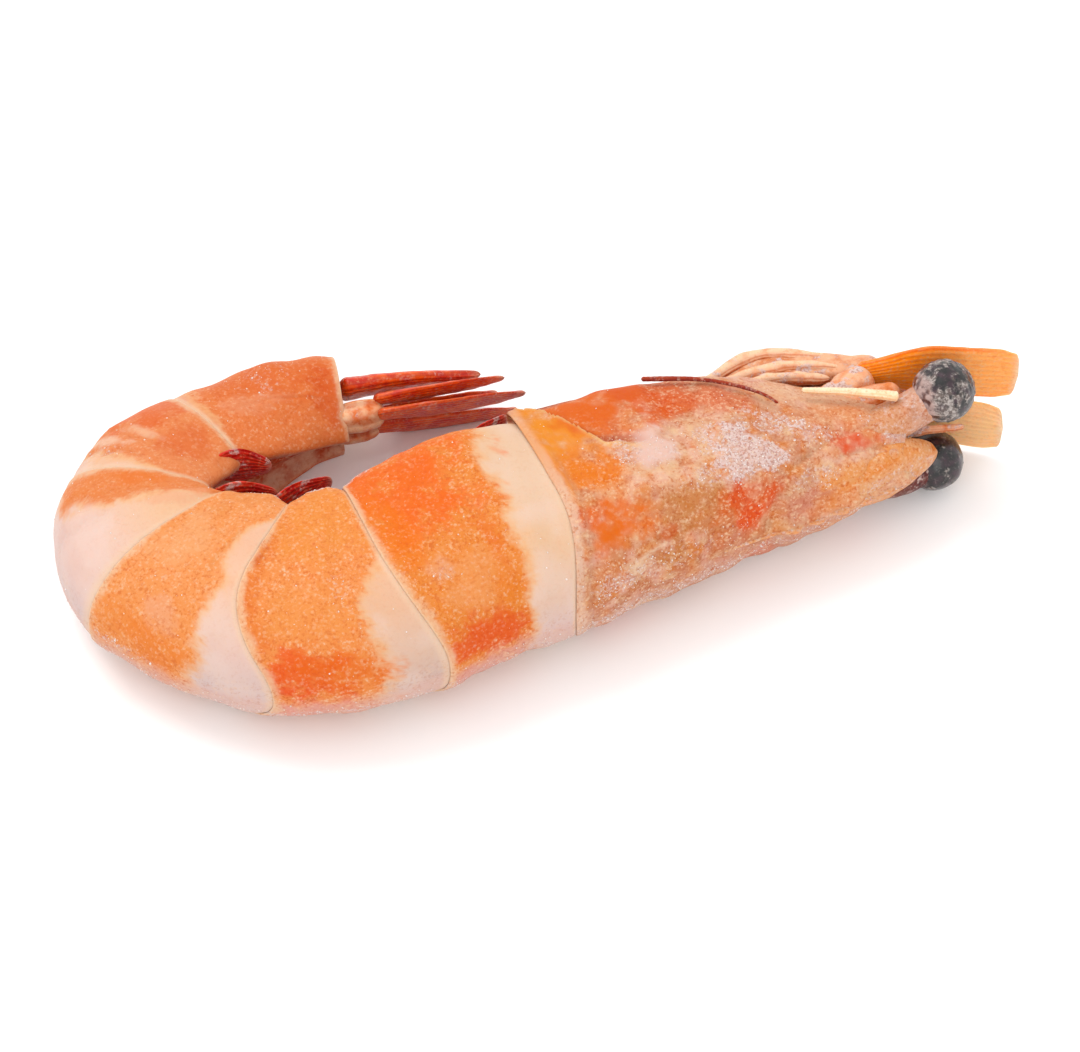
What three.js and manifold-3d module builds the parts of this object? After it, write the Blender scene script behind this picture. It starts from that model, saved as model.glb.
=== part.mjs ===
// A whole king prawn, cooked in its shell and frozen, lying on its right side with the tail curled round.
// Everything is modelled in the animal's own frame, in millimetres: x runs ahead of it, y to its left and z
// up from its back, with the origin inside the body at the rear rim of the head shell. The outer groups
// then lay it on its right side, turn it, and put the origin of the part at the bottom centre of its box.
import * as THREE from "three";
import { mergeVertices } from "three/addons/utils/BufferGeometryUtils.js";
import Module from "manifold-3d";

const wasm = await Module();
wasm.setup();

const RAD = Math.PI / 180;

// Driving sizes of the body.
const GAP = 0.3; // left open between two pieces that touch
const RIM_GAP = 0.45; // the same between two tail plates, along the middle of the body
const SHELL_STEP = 0.45; // how far the front of a plate is tucked in under the one before it
const SHELL_FLARE = 0.15; // how far the rear rim of a plate stands out
const LIE_TURN = 20; // how far the head points away from the x axis of the part
const FLAT_SPOT = 0.1; // how much of the round side is pressed flat where the prawn lies

// The six tail segments, front to rear: length along the middle of the body and bend in degrees, how far
// the side flaps of the rear rim run on towards the tail, and how far the rim draws forward at mid height.
const SEGMENTS = [
  { length: 12.8, bend: -8, sweep: 2.2, draw: -0.6 },
  { length: 9.4, bend: 34, sweep: 1.4, draw: -2.4 },
  { length: 11.4, bend: 40, sweep: 0.1, draw: -0.2 },
  { length: 7.4, bend: 56, sweep: 0.2, draw: 0.2 },
  { length: 8.2, bend: 40, sweep: 0.2, draw: 0.2 },
  { length: 12.6, bend: 24, sweep: -0.4, draw: 0 },
];
// The fan is wider than its segment: how far that lifts the tail's end, and how far it lies rolled over.
const TAIL = { lift: 1.5, roll: 28 };
const HEAD_RIM = { sweep: -0.6, draw: 1.1 };
// The front edge of the head shell: its cheeks run on beside the eye stalks, and below them it slopes back
// to the legs.
const HEAD_FRONT = { at: -30.5, cheek: 2.0, sweep: 6.5, slopesFrom: 0.66 };
const FACE = { middle: [31.2, 0, 0.3], size: 0.25 }; // where the shell closes in between its cheeks

// Girth along the body at some places, counted tailwards from the rear rim of the head shell: half width,
// height of the back over the middle, depth of the side flaps under it, and depth of the belly between
// them.
const GIRTH = [
  { at: -32.0, wide: 3.6, back: 4.0, flap: 1.8, belly: 1.2 },
  { at: -27.0, wide: 5.2, back: 4.7, flap: 4.2, belly: 3.2 },
  { at: -20.0, wide: 6.4, back: 5.5, flap: 7.6, belly: 5.2 },
  { at: -10.0, wide: 7.2, back: 6.9, flap: 9.4, belly: 6.4 },
  { at: 0.0, wide: 7.1, back: 8.7, flap: 10.0, belly: 6.6 },
  { at: 12.8, wide: 6.9, back: 9.3, flap: 9.2, belly: 6.2 },
  { at: 22.0, wide: 6.7, back: 9.4, flap: 8.4, belly: 5.4 },
  { at: 33.5, wide: 6.1, back: 8.9, flap: 7.0, belly: 4.6 },
  { at: 41.0, wide: 5.4, back: 7.8, flap: 5.4, belly: 3.8 },
  { at: 49.0, wide: 4.6, back: 6.3, flap: 5.2, belly: 3.6 },
  { at: 61.6, wide: 3.3, back: 4.2, flap: 3.8, belly: 3.0 },
];

// The side flaps of the body plates: how far their edge turns in, as a share of the half width, their
// thickness, and how deep they hang under the belly where they are notched.
const FLAP = { tuck: 0.27, thick: 1.2, notched: 0.9 };
// The rings along a tail plate and along the head shell, as shares of its length, and the points of each
// ring: from the ridge of the back down to mid height, on down to the edge of the flap, and four that turn
// in to the belly.
const PLATE_RINGS = [0, 0.1, 0.24, 0.42, 0.6, 0.78, 0.92, 1];
const HEAD_RINGS = [0, 0.04, 0.12, 0.22, 0.33, 0.45, 0.57, 0.69, 0.8, 0.9, 0.97, 1];
const BACK_STEPS = 6;
const FLAP_STEPS = 3;
const EDGE = BACK_STEPS + FLAP_STEPS;
const HALF_RING = EDGE + 4;

// The beak between the eyes: its crest on the head shell, its brow, its tip, and the low teeth along its
// top.
const BEAK = { thick: 1.5, bevel: 0.45, crestFrom: 14, crestHeight: 0.5, browX: 27.5, tipX: 35.0 };
const BEAK_TIP = { z: 1.3, deep: 1.6, slope: 1.6 };
const BEAK_TEETH = { count: 6, from: 19, pitch: 2.3, high: 0.55, peakAt: 0.72 };

// The eyes and their stalks. The right eye rests on the table, so it sits closer in.
const EYE = { radius: 2.7, across: 0.97, high: 1.02 };
const EYES = { left: [36.3, 4.7, -0.2], right: [35.8, 4.15, -0.1] };
const STALK = { from: [27.6, 2.35, 0.7], bow: [-3.6, -1.5, 0.5], into: [-0.5, -0.3, 0], thick: [2.3, 3.2] };

// The feelers' bases, the flat scales on them, the thin pair between the eyes, and two pieces of broken
// feeler.
const FEELER_BASE = { path: [[24.5, 2.6, -2.6], [28.4, 3.1, -3.9], [31.6, 3.3, -4.8]], thick: [3.9, 2.9] };
const SCALES = {
  left: { path: [[32.0, 3.3, -5.6], [35.6, 3.0, -4.5], [39.8, 2.8, -2.9], [43.8, 2.6, -1.3]], wide: 6.3 },
  right: { path: [[32.0, 3.4, -5.6], [34.8, 3.6, -5.2], [38.6, 3.6, -3.3], [42.6, 3.5, -0.8]], wide: 6.0 },
};
const SMALL_FEELER = { path: [[28.4, 0.95, -1.2], [33, 0.85, -1.3], [38.6, 0.95, -0.2]], thick: 1.3 };
const STUB = { path: [[24.5, 6.2, -3.2], [28.4, 5.95, -1.8], [32.2, 5.5, -0.3]], thick: 0.8 };
const STRAND = {
  path: [[12.2, 6.3, -8.9], [16.4, 6.7, -7.0], [19.2, 6.8, -5.2], [21.2, 6.9, -3.2], [21.9, 6.9, -2.0]],
  thick: 0.55,
};

// The walking legs: their roots in the groove under the head, and the lane that each is folded forward in. A
// lane lies hidden between the flaps of the head shell at first (near), and further down past them (far).
const LEGS = { firstRoot: 19.0, pitch: 3.9, rootDown: 5.4, opensFrom: 14, opensOver: 10, rise: 0.38 };
const LEG_WIDTH = { root: 1.4, shin: 1.04, flatness: 1.1 };
const LANES = [
  { out: 2.45, near: 6.3, far: 8.2, tipX: 28.6 },
  { out: 0.95, near: 6.7, far: 8.8, tipX: 27.4 },
  { out: 2.35, near: 7.4, far: 9.65, tipX: 29.8 },
  { out: 0.95, near: 8.1, far: 10.25, tipX: 29.0 },
  { out: 2.35, near: 8.8, far: 11.1, tipX: 29.2 },
];

// The leaf-like pair of limbs in front of the legs, and the soft mouth parts behind them.
const LEAF_LEG = { path: [[22, 1.1, -4.6], [25, 1.1, -6.3], [31, 1.1, -6.3], [37.2, 1.1, -5.8]], thick: 1.5 };
const MOUTH = { path: [[19.5, 0, -3.4], [24.0, 0, -4.2], [28.0, 0, -3.9]], wide: 4.0, thick: 3.8 };

// The swimming paddles, front to rear. swing is how far each hangs down from the line towards the head, and
// stem is the share of its width that it has at its root.
const PADDLES = [
  { length: 10.4, swing: 33 },
  { length: 10.6, swing: 36 },
  { length: 9.6, swing: 70 },
  { length: 7.6, swing: 90 },
  { length: 6.0, swing: 130 },
];
const PADDLE = { out: 2.6, wide: 4.2, thick: 0.8, rootThick: 1.5, stem: 0.3 };

// The tail fan: its middle piece, and on each side a base with an inner and an outer blade.
const TELSON = { length: 12.5, wide: 5.0, thick: 2.0, up: 1.2, droop: 0.9 };
const FAN = {
  inner: { length: 14.0, wide: 4.2, out: { left: 2.5, right: 2.2 }, splay: 0.5, up: -0.7, droop: 0.3 },
  outer: { length: 15.4, wide: 4.9, out: { left: 3.0, right: 2.0 }, splay: 0.7, up: -2.1, droop: 0.7 },
};
const FAN_BASE = { length: 3.4, wide: 2.9, thick: 2.8, out: 2.1, up: -1.8 };

const BODY_END = plateStart(SEGMENTS.length);
const MID_HEIGHT = girth(0, "wide") + SHELL_FLARE - FLAT_SPOT; // of the head's mid plane above the table

// Where a tail segment starts, counted along the middle of the body.
function plateStart(number) {
  return SEGMENTS.slice(0, number).reduce((sum, segment) => sum + segment.length, 0);
}

function mix(a, b, t) {
  return a + (b - a) * t;
}

function smooth(t) {
  const c = Math.min(1, Math.max(0, t));
  return c * c * (3 - 2 * c);
}

// One measure of the girth at a place along the body, on a smooth curve through the table above.
function girth(at, measure) {
  const last = GIRTH.length - 1;
  const c = Math.min(GIRTH[last].at, Math.max(GIRTH[0].at, at));
  const k = Math.min(last - 1, GIRTH.findLastIndex((g) => g.at <= c));
  const step = GIRTH[k + 1].at - GIRTH[k].at;
  const slope = (i) => {
    const a = GIRTH[Math.max(0, i - 1)];
    const b = GIRTH[Math.min(last, i + 1)];
    return (b[measure] - a[measure]) / (b.at - a.at);
  };
  const t = (c - GIRTH[k].at) / step;
  const t2 = t * t;
  const t3 = t2 * t;
  return (
    (2 * t3 - 3 * t2 + 1) * GIRTH[k][measure] +
    (t3 - 2 * t2 + t) * step * slope(k) +
    (3 * t2 - 2 * t3) * GIRTH[k + 1][measure] +
    (t3 - t2) * step * slope(k + 1)
  );
}

// Place and direction of the body's middle line. It is straight in the head, and each tail segment follows
// an arc of its own bend. Past the last segment it runs on straight.
function middle(at) {
  const place = { x: -Math.min(at, 0), z: 0 };
  let turned = 0;
  let left = Math.max(at, 0);
  for (const { length, bend } of SEGMENTS) {
    const run = Math.min(left, length);
    const turn = (bend * RAD * run) / length;
    const chord = Math.abs(turn) < 1e-6 ? run : (run * Math.sin(turn / 2)) / (turn / 2);
    place.x -= chord * Math.cos(turned + turn / 2);
    place.z -= chord * Math.sin(turned + turn / 2);
    turned += turn;
    left -= run;
  }
  place.x -= left * Math.cos(turned);
  place.z -= left * Math.sin(turned);
  return { ...place, turned };
}

// How far the body's mid plane lies to the left of the head's own: the tail narrows, and its side stays
// down, but the folded fan at its end is wider again.
function lean(at) {
  return girth(Math.max(at, 0), "wide") - girth(0, "wide") + TAIL.lift * lastSegment(at);
}

// How far a place is along the last tail segment, from 0 to 1.
function lastSegment(at) {
  const { length } = SEGMENTS.at(-1);
  return smooth((at - BODY_END + length) / length);
}

// A point of the body: along it, out to its left and up towards its back. The last segment rolls over, so
// that the back of the tail fan comes round to the left.
function bodyPoint(at, out, up) {
  const { x, z, turned } = middle(at);
  const roll = TAIL.roll * RAD * lastSegment(at);
  const left = out * Math.cos(roll) + up * Math.sin(roll);
  const back = up * Math.cos(roll) - out * Math.sin(roll);
  return new THREE.Vector3(x - back * Math.sin(turned), left + lean(at), z + back * Math.cos(turned));
}

// Small unevenness of the shell, the same on every run.
function lumps(at, around) {
  return (
    0.12 * Math.sin(0.55 * at + 1.7 * Math.cos(around)) +
    0.09 * Math.sin(1.15 * at - 2.3 * around + 0.8) +
    0.05 * Math.sin(2.1 * at + 3.1 * around)
  );
}

const SIDE_FULLNESS = 0.92; // under 1, so that the sides are a little fuller than an ellipse

// Point k of the outline across the body, on the left: how far up and how far out. lobe is 1 in the middle
// of a plate and less where its flap is notched, step is how far the shell stands out there, and grow moves
// the whole outline outwards, so that the flap gets thicker on both faces.
function outline(at, k, lobe, step, grow) {
  const wide = girth(at, "wide") + step + grow;
  const belly = girth(at, "belly") + 0.5 * step + grow;
  const flap = mix(girth(at, "belly") + FLAP.notched, girth(at, "flap"), lobe) + step + grow;
  if (k <= BACK_STEPS) {
    const around = (k / BACK_STEPS) * 90 * RAD;
    const swell = lumps(at, around);
    const back = girth(at, "back") + step + grow;
    return [(back + swell) * Math.cos(around), (wide + swell) * Math.sin(around) ** SIDE_FULLNESS];
  }
  if (k <= EDGE) {
    const down = (k - BACK_STEPS) / FLAP_STEPS;
    const side = (wide + lumps(at, 90 * RAD + down)) * (1 - FLAP.tuck * down * down);
    return [-flap * Math.sin(down * 90 * RAD), side];
  }
  const edge = (1 - FLAP.tuck) * (wide - grow) - FLAP.thick - grow;
  return [
    [-flap + 0.15, edge + 0.1],
    [-mix(belly, flap, 0.3), edge - 0.3],
    [-belly, 0.4 * edge],
    [-belly - 0.25, 0],
  ][k - EDGE - 1];
}

// Where the rim of a plate lies along the body, at a share of the way from the ridge (0) down to the flap
// (1).
function rimPlace(at, rim, down) {
  return at + rim.sweep * smooth(down) ** 1.4 - rim.draw * Math.sin(Math.PI * down) ** 2;
}

// A ring of body points. placeAt gives the place along the body at a share of the way down the side.
function bodyRing(placeAt, lobe, step, grow) {
  const point = (k, sign) => {
    const at = placeAt(Math.min(1, k / EDGE));
    const [up, out] = outline(at, k, lobe, step, grow);
    return bodyPoint(at, sign * out, up);
  };
  const left = Array.from({ length: HALF_RING }, (_, k) => point(k, 1));
  const right = Array.from({ length: HALF_RING - 2 }, (_, k) => point(HALF_RING - 2 - k, -1));
  return [...left, ...right];
}

// Triangles that close the end of a body ring, the same on every plate, so that two rims keep their
// distance.
const BODY_CAP = (() => {
  const flat = (k, sign) => {
    const [up, out] = outline(0, k, 1, 0, 0);
    return new THREE.Vector2(up, sign * out);
  };
  const left = Array.from({ length: HALF_RING }, (_, k) => flat(k, 1));
  const right = Array.from({ length: HALF_RING - 2 }, (_, k) => flat(HALF_RING - 2 - k, -1));
  return THREE.ShapeUtils.triangulateShape([...left, ...right], []);
})();

// A closed solid over rings that have the same number of points each. Both ends are closed by the triangles
// in cap, or by a fan from the ring's first point where cap isn't given.
function loft(rings, cap) {
  const count = rings[0].length;
  const position = rings.flat().flatMap((p) => [p.x, p.y, p.z]);
  const faces = [];
  for (let i = 0; i + 1 < rings.length; i++) {
    for (let j = 0; j < count; j++) {
      const a = i * count + j;
      const b = i * count + ((j + 1) % count);
      faces.push([a, b, a + count], [b, b + count, a + count]);
    }
  }
  const fan = Array.from({ length: count - 2 }, (_, j) => [0, j + 1, j + 2]);
  const end = (rings.length - 1) * count;
  for (const [a, b, c] of turnedLikeRing(cap ?? fan, count)) {
    faces.push([a, c, b], [end + a, end + b, end + c]);
  }
  return closed(position, faces);
}

// The same triangles, each turned the way that the ring of points runs.
function turnedLikeRing(triangles, count) {
  const follows = triangles.some(([a, b, c]) => {
    return b === (a + 1) % count || c === (b + 1) % count || a === (c + 1) % count;
  });
  return follows ? triangles : triangles.map(([a, b, c]) => [a, c, b]);
}

// Vertices and faces as a solid, with the faces turned outwards.
function closed(position, faces) {
  const at = (i) => new THREE.Vector3().fromArray(position, 3 * i);
  const sixfold = faces.reduce((sum, [a, b, c]) => sum + at(a).dot(at(b).cross(at(c))), 0);
  const triVerts = new Uint32Array(faces.flatMap(([a, b, c]) => (sixfold > 0 ? [a, b, c] : [a, c, b])));
  const vertProperties = new Float32Array(position);
  return new wasm.Manifold(new wasm.Mesh({ numProp: 3, vertProperties, triVerts }));
}

// A three.js shape as a solid, and a solid as a three.js shape.
function solidOf(geometry) {
  geometry.deleteAttribute("normal");
  geometry.deleteAttribute("uv");
  const merged = mergeVertices(geometry, 1e-4);
  const triVerts = new Uint32Array(merged.index.array);
  const vertProperties = new Float32Array(merged.attributes.position.array);
  return new wasm.Manifold(new wasm.Mesh({ numProp: 3, vertProperties, triVerts }));
}

function geometryOf(solid) {
  const { vertProperties, triVerts } = solid.getMesh();
  const geometry = new THREE.BufferGeometry();
  geometry.setAttribute("position", new THREE.BufferAttribute(vertProperties, 3));
  geometry.setIndex(new THREE.BufferAttribute(triVerts, 1));
  geometry.computeVertexNormals();
  return geometry;
}

// The six tail plates. Each starts tucked in under the rim before it, and its own rear rim stands out a
// little.
function plateLobe(t) {
  return 0.25 + 0.75 * Math.sin(Math.PI * mix(0.1, 0.9, t)) ** 0.7;
}

function plateStep(t) {
  return -SHELL_STEP * (1 - smooth(t / 0.3)) + SHELL_FLARE * smooth((t - 0.7) / 0.3);
}

function tailPlate(number, grow) {
  const before = plateStart(number);
  const { length } = SEGMENTS[number];
  const frontRim = number > 0 ? SEGMENTS[number - 1] : HEAD_RIM;
  const rings = PLATE_RINGS.map((t) => {
    const placeAt = (down) => {
      const front = rimPlace(before + RIM_GAP - grow, frontRim, down);
      const rear = rimPlace(before + length + grow, SEGMENTS[number], down);
      return mix(front, rear, t);
    };
    return bodyRing(placeAt, plateLobe(t), plateStep(t), grow);
  });
  return loft(rings, BODY_CAP);
}

// The head shell, with its straight lower edge over the legs and its sloping front edge. In front it closes
// in to a small flat face in the middle.
function headFront(down) {
  const { at, cheek, sweep, slopesFrom } = HEAD_FRONT;
  const bulge = cheek * Math.sin(Math.PI * Math.min(1, down / (2 * slopesFrom))) ** 2;
  return at - bulge + sweep * smooth((down - slopesFrom) / (1 - slopesFrom));
}

function headShell(grow) {
  const rings = HEAD_RINGS.map((t) => {
    const placeAt = (down) => {
      return mix(headFront(down) - grow, rimPlace(grow, HEAD_RIM, down), t);
    };
    return bodyRing(placeAt, 1, SHELL_FLARE * smooth((t - 0.85) / 0.15), grow);
  });
  const middle = new THREE.Vector3(...FACE.middle).setX(FACE.middle[0] + 2 * grow);
  const face = rings[0].map((p) => middle.clone().lerp(p, FACE.size));
  return loft([face, ...rings], BODY_CAP);
}

// A limb or blade: a section of given width and thickness swept along a smooth path. across is the way that
// the width lies, and profile gives width, thickness and rib height at a share of the way along the path.
// grow makes it stouter and longer all round.
function strip(path, across, profile, steps, sides, grow = 0) {
  const ends = [path[0].clone().sub(path[1]), path.at(-1).clone().sub(path.at(-2))];
  const grown = [...path];
  grown[0] = path[0].clone().addScaledVector(ends[0].normalize(), grow);
  grown[path.length - 1] = path.at(-1).clone().addScaledVector(ends[1].normalize(), grow);
  const curve = new THREE.CatmullRomCurve3(grown, false, "centripetal");
  const rings = Array.from({ length: steps + 1 }, (_, i) => {
    const s = i / steps;
    const centre = curve.getPointAt(s);
    const ahead = curve.getTangentAt(s);
    const flat = across.clone().addScaledVector(ahead, -across.dot(ahead)).normalize();
    const thickWay = new THREE.Vector3().crossVectors(ahead, flat);
    const { wide, thick, rib = 0 } = profile(s);
    return Array.from({ length: sides }, (_, j) => {
      const around = (j / sides) * 360 * RAD;
      const w = (wide / 2 + grow) * Math.cos(around);
      const up = Math.sin(around);
      const t = (thick / 2 + grow + rib * Math.abs(up) ** 6) * up;
      return centre.clone().addScaledVector(flat, w).addScaledVector(thickWay, t);
    });
  });
  return loft(rings);
}

function mirrored(points, sign) {
  return points.map(([x, y, z]) => new THREE.Vector3(x, sign * y, z));
}

const LEFT_RIGHT = [
  ["left", 1],
  ["right", -1],
];
const ACROSS = new THREE.Vector3(0, 1, 0);

// The beak between the eyes, a thin blade that starts as a crest on the head shell and carries low teeth.
function beakTop(x) {
  const { browX, crestFrom, crestHeight, tipX } = BEAK;
  const shell = girth(-Math.min(x, browX), "back") + crestHeight * smooth((x - crestFrom) / 6);
  const run = Math.max(0, (x - browX + 2) / (tipX - browX + 2));
  return mix(shell, BEAK_TIP.z + BEAK_TIP.deep, run ** BEAK_TIP.slope);
}

function beak() {
  const { browX, crestFrom, tipX, thick, bevel } = BEAK;
  const { z, deep } = BEAK_TIP;
  const outlinePoints = [[crestFrom, beakTop(crestFrom) - 1]];
  for (let i = 0; i < BEAK_TEETH.count; i++) {
    const foot = BEAK_TEETH.from + i * BEAK_TEETH.pitch;
    const peak = foot + BEAK_TEETH.peakAt * BEAK_TEETH.pitch;
    outlinePoints.push([foot, beakTop(foot)]);
    outlinePoints.push([peak, beakTop(peak) + BEAK_TEETH.high]);
  }
  outlinePoints.push([tipX - 0.6, z + deep], [tipX, z + 0.5 * deep], [tipX - 0.4, z]);
  outlinePoints.push([browX + 2, 0.5], [browX - 2, 0.4], [crestFrom + 4, 3]);
  const shape = new THREE.Shape(outlinePoints.map((point) => new THREE.Vector2(...point)));
  const edges = { bevelThickness: bevel, bevelSize: 0.3, bevelOffset: -0.3, bevelSegments: 1 };
  const blade = new THREE.ExtrudeGeometry(shape, { depth: thick - 2 * bevel, steps: 1, ...edges });
  blade.rotateX(90 * RAD);
  blade.translate(0, thick / 2 - bevel, 0);
  return solidOf(blade);
}

// The black eyes on their short stalks.
function eyeBall(side, sign, grow) {
  const [x, y, z] = EYES[side];
  const ball = new THREE.SphereGeometry(EYE.radius + grow, 16, 10);
  ball.rotateZ(sign * 40 * RAD);
  ball.scale(1, EYE.across, EYE.high);
  ball.translate(x, sign * y, z);
  return solidOf(ball);
}

function eyeStalk(side, sign) {
  const fromEye = (offset) => EYES[side].map((c, i) => c + offset[i]);
  const path = mirrored([STALK.from, fromEye(STALK.bow), fromEye(STALK.into)], sign);
  const profile = (s) => {
    const thick = mix(...STALK.thick, smooth(s));
    return { wide: thick, thick };
  };
  return strip(path, ACROSS, profile, 7, 10);
}

// The feelers: a stout base on each side that carries the flat scale, and the thinner pair between the
// eyes.
function feelerBase(sign, grow) {
  const profile = (s) => {
    const thick = mix(...FEELER_BASE.thick, s) * (1 - 0.12 * Math.sin(2 * Math.PI * s));
    return { wide: thick, thick: 0.9 * thick };
  };
  return strip(mirrored(FEELER_BASE.path, sign), ACROSS, profile, 6, 10, grow);
}

function smallFeeler(sign) {
  const profile = jointed(SMALL_FEELER.thick, [0.33, 0.6], 0.6);
  return strip(mirrored(SMALL_FEELER.path, sign), ACROSS, profile, 9, 7);
}

function thread({ path, thick }, steps) {
  return strip(mirrored(path, 1), ACROSS, () => ({ wide: thick, thick }), steps, 6);
}

function scale(side, sign) {
  const { path, wide } = SCALES[side];
  const profile = (s) => ({
    wide: wide * (0.42 + 0.58 * smooth(s / 0.5)) * (1 - 0.16 * smooth((s - 0.85) / 0.15)),
    thick: mix(1.3, 0.5, s),
    rib: 0.16,
  });
  return strip(mirrored(path, sign), ACROSS, profile, 8, 10);
}

// How much a limb swells at its joints.
function knuckles(s, joints) {
  return 1 + 0.2 * joints.reduce((sum, joint) => sum + Math.exp(-(((s - joint) / 0.04) ** 2)), 0);
}

function jointed(thick, joints, taper) {
  return (s) => {
    const across = thick * (1 - taper * s) * knuckles(s, joints);
    return { wide: across, thick: across };
  };
}

// The five pairs of walking legs and the leaf-like pair in front of them, folded forward under the head.
// Each leg drops from its root to a lane of its own, and the lanes lie under one another.
function laneHeight({ near, far }, x) {
  const { opensFrom, opensOver, rise } = LEGS;
  const open = smooth((x - opensFrom) / opensOver);
  return rise * Math.max(0, x - opensFrom - opensOver) - mix(near, far, open);
}

function leg(number, sign) {
  const lane = LANES[number];
  const root = LEGS.firstRoot - LEGS.pitch * number;
  const begin = root + 2.4;
  const inLane = [0, 0.25, 0.5, 0.75, 1].map((share) => {
    const x = mix(begin, lane.tipX, share);
    return [x, lane.out, laneHeight(lane, x)];
  });
  const bend = [root + 0.9, lane.out, mix(-LEGS.rootDown, laneHeight(lane, root), 0.75)];
  const path = [[root, lane.out, -LEGS.rootDown], bend, ...inLane];
  const profile = (s) => {
    const slim = mix(LEG_WIDTH.root, LEG_WIDTH.shin, smooth(s / 0.15));
    const thick = slim * (1 - 0.5 * smooth((s - 0.88) / 0.12)) * knuckles(s, [0.5, 0.74]);
    return { wide: LEG_WIDTH.flatness * thick, thick };
  };
  return strip(mirrored(path, sign), ACROSS, profile, 14, 6);
}

function leafLeg(sign, grow) {
  const profile = (s) => {
    const { wide } = jointed(LEAF_LEG.thick, [0.35, 0.66], 0.5)(s);
    return { wide, thick: 0.62 * wide };
  };
  return strip(mirrored(LEAF_LEG.path, sign), ACROSS, profile, 10, 7, grow);
}

// The soft mouth parts between the feelers' bases and the first legs.
function mouthParts() {
  const path = MOUTH.path.map((p) => new THREE.Vector3(...p));
  const profile = (s) => {
    const round = Math.sqrt(Math.max(0.12, 1 - (1.9 * s - 1) ** 2));
    return { wide: MOUTH.wide * round, thick: MOUTH.thick * round };
  };
  return strip(path, ACROSS, profile, 7, 10);
}

// The five pairs of swimming paddles, folded forward under the tail. swing is how far each hangs down from
// the line towards the head.
function paddle(number, sign) {
  const { length, swing } = PADDLES[number];
  const at = plateStart(number) + 0.52 * SEGMENTS[number].length;
  const { turned } = middle(at);
  const root = bodyPoint(at, sign * PADDLE.out, -girth(at, "belly") + 0.8);
  const forward = new THREE.Vector3(Math.cos(turned), 0, Math.sin(turned));
  const down = new THREE.Vector3(Math.sin(turned), 0, -Math.cos(turned));
  const along = (share, extra) => {
    const angle = (swing + extra) * RAD;
    return root
      .clone()
      .addScaledVector(forward, share * length * Math.cos(angle))
      .addScaledVector(down, share * length * Math.sin(angle));
  };
  const path = [root, along(0.33, 12), along(0.68, 6), along(1.0, 0)];
  const profile = (s) => ({
    wide: PADDLE.wide * (PADDLE.stem + (1 - PADDLE.stem) * Math.sin(Math.PI * smooth(0.04 + 0.9 * s)) ** 0.7),
    thick: mix(PADDLE.rootThick, PADDLE.thick, smooth(s / 0.4)) * (1 - 0.4 * s),
    rib: 0.12 * (1 - s),
  });
  return strip(path, ACROSS, profile, 7, 8);
}

// The tail fan, folded: the pointed middle piece on top, and on each side a base with two blades under it.
const FAN_ACROSS = fanPoint(1, 1, 0).sub(fanPoint(1, 0, 0));

function fanPoint(run, out, up) {
  return bodyPoint(BODY_END + run, out, up);
}

function telson() {
  const { length, up, droop } = TELSON;
  const path = [0, 0.35, 0.7, 1].map((s) => fanPoint(RIM_GAP + s * length, 0, up - droop * s * s));
  const profile = (s) => ({
    wide: TELSON.wide * (1 - 0.5 * s) * (1 - 0.86 * smooth((s - 0.5) / 0.5)),
    thick: TELSON.thick * (1 - 0.62 * s),
    rib: -0.18 * (1 - s),
  });
  return strip(path, FAN_ACROSS, profile, 9, 12);
}

function fanBlade({ length, wide, out, splay, up, droop }, side, sign) {
  const start = FAN_BASE.length - 0.6;
  const path = [0, 0.33, 0.66, 1].map((s) => {
    return fanPoint(start + s * (length - start), sign * (out[side] + splay * s), up - droop * s * (2 - s));
  });
  const profile = (s) => ({
    wide: wide * (0.5 + 0.5 * smooth(s / 0.35)) * Math.sqrt(Math.max(0.06, 1 - smooth((s - 0.6) / 0.4) ** 2)),
    thick: mix(1.05, 0.5, s),
    rib: 0.12,
  });
  return strip(path, FAN_ACROSS, profile, 9, 10);
}

function fanBase(sign, grow) {
  const { length, out, up } = FAN_BASE;
  const path = [-1.5, 0.4, length].map((run) => fanPoint(run, sign * out, up));
  const profile = (s) => ({
    wide: FAN_BASE.wide * (1 - 0.25 * (2 * s - 1) ** 2),
    thick: FAN_BASE.thick * (1 - 0.3 * (2 * s - 1) ** 2),
  });
  return strip(path, FAN_ACROSS, profile, 5, 9, grow);
}

// Everything under the head's mid plane height is cut away, where the prawn lies on the table.
const TABLE_SIZE = 200;

function table() {
  const block = new THREE.BoxGeometry(TABLE_SIZE, TABLE_SIZE, TABLE_SIZE);
  block.translate(0, -MID_HEIGHT - TABLE_SIZE / 2, 0);
  return solidOf(block);
}

const solids = {};
const headGrown = headShell(GAP);
const plateGrown = SEGMENTS.map((_, number) => tailPlate(number, GAP));

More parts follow.
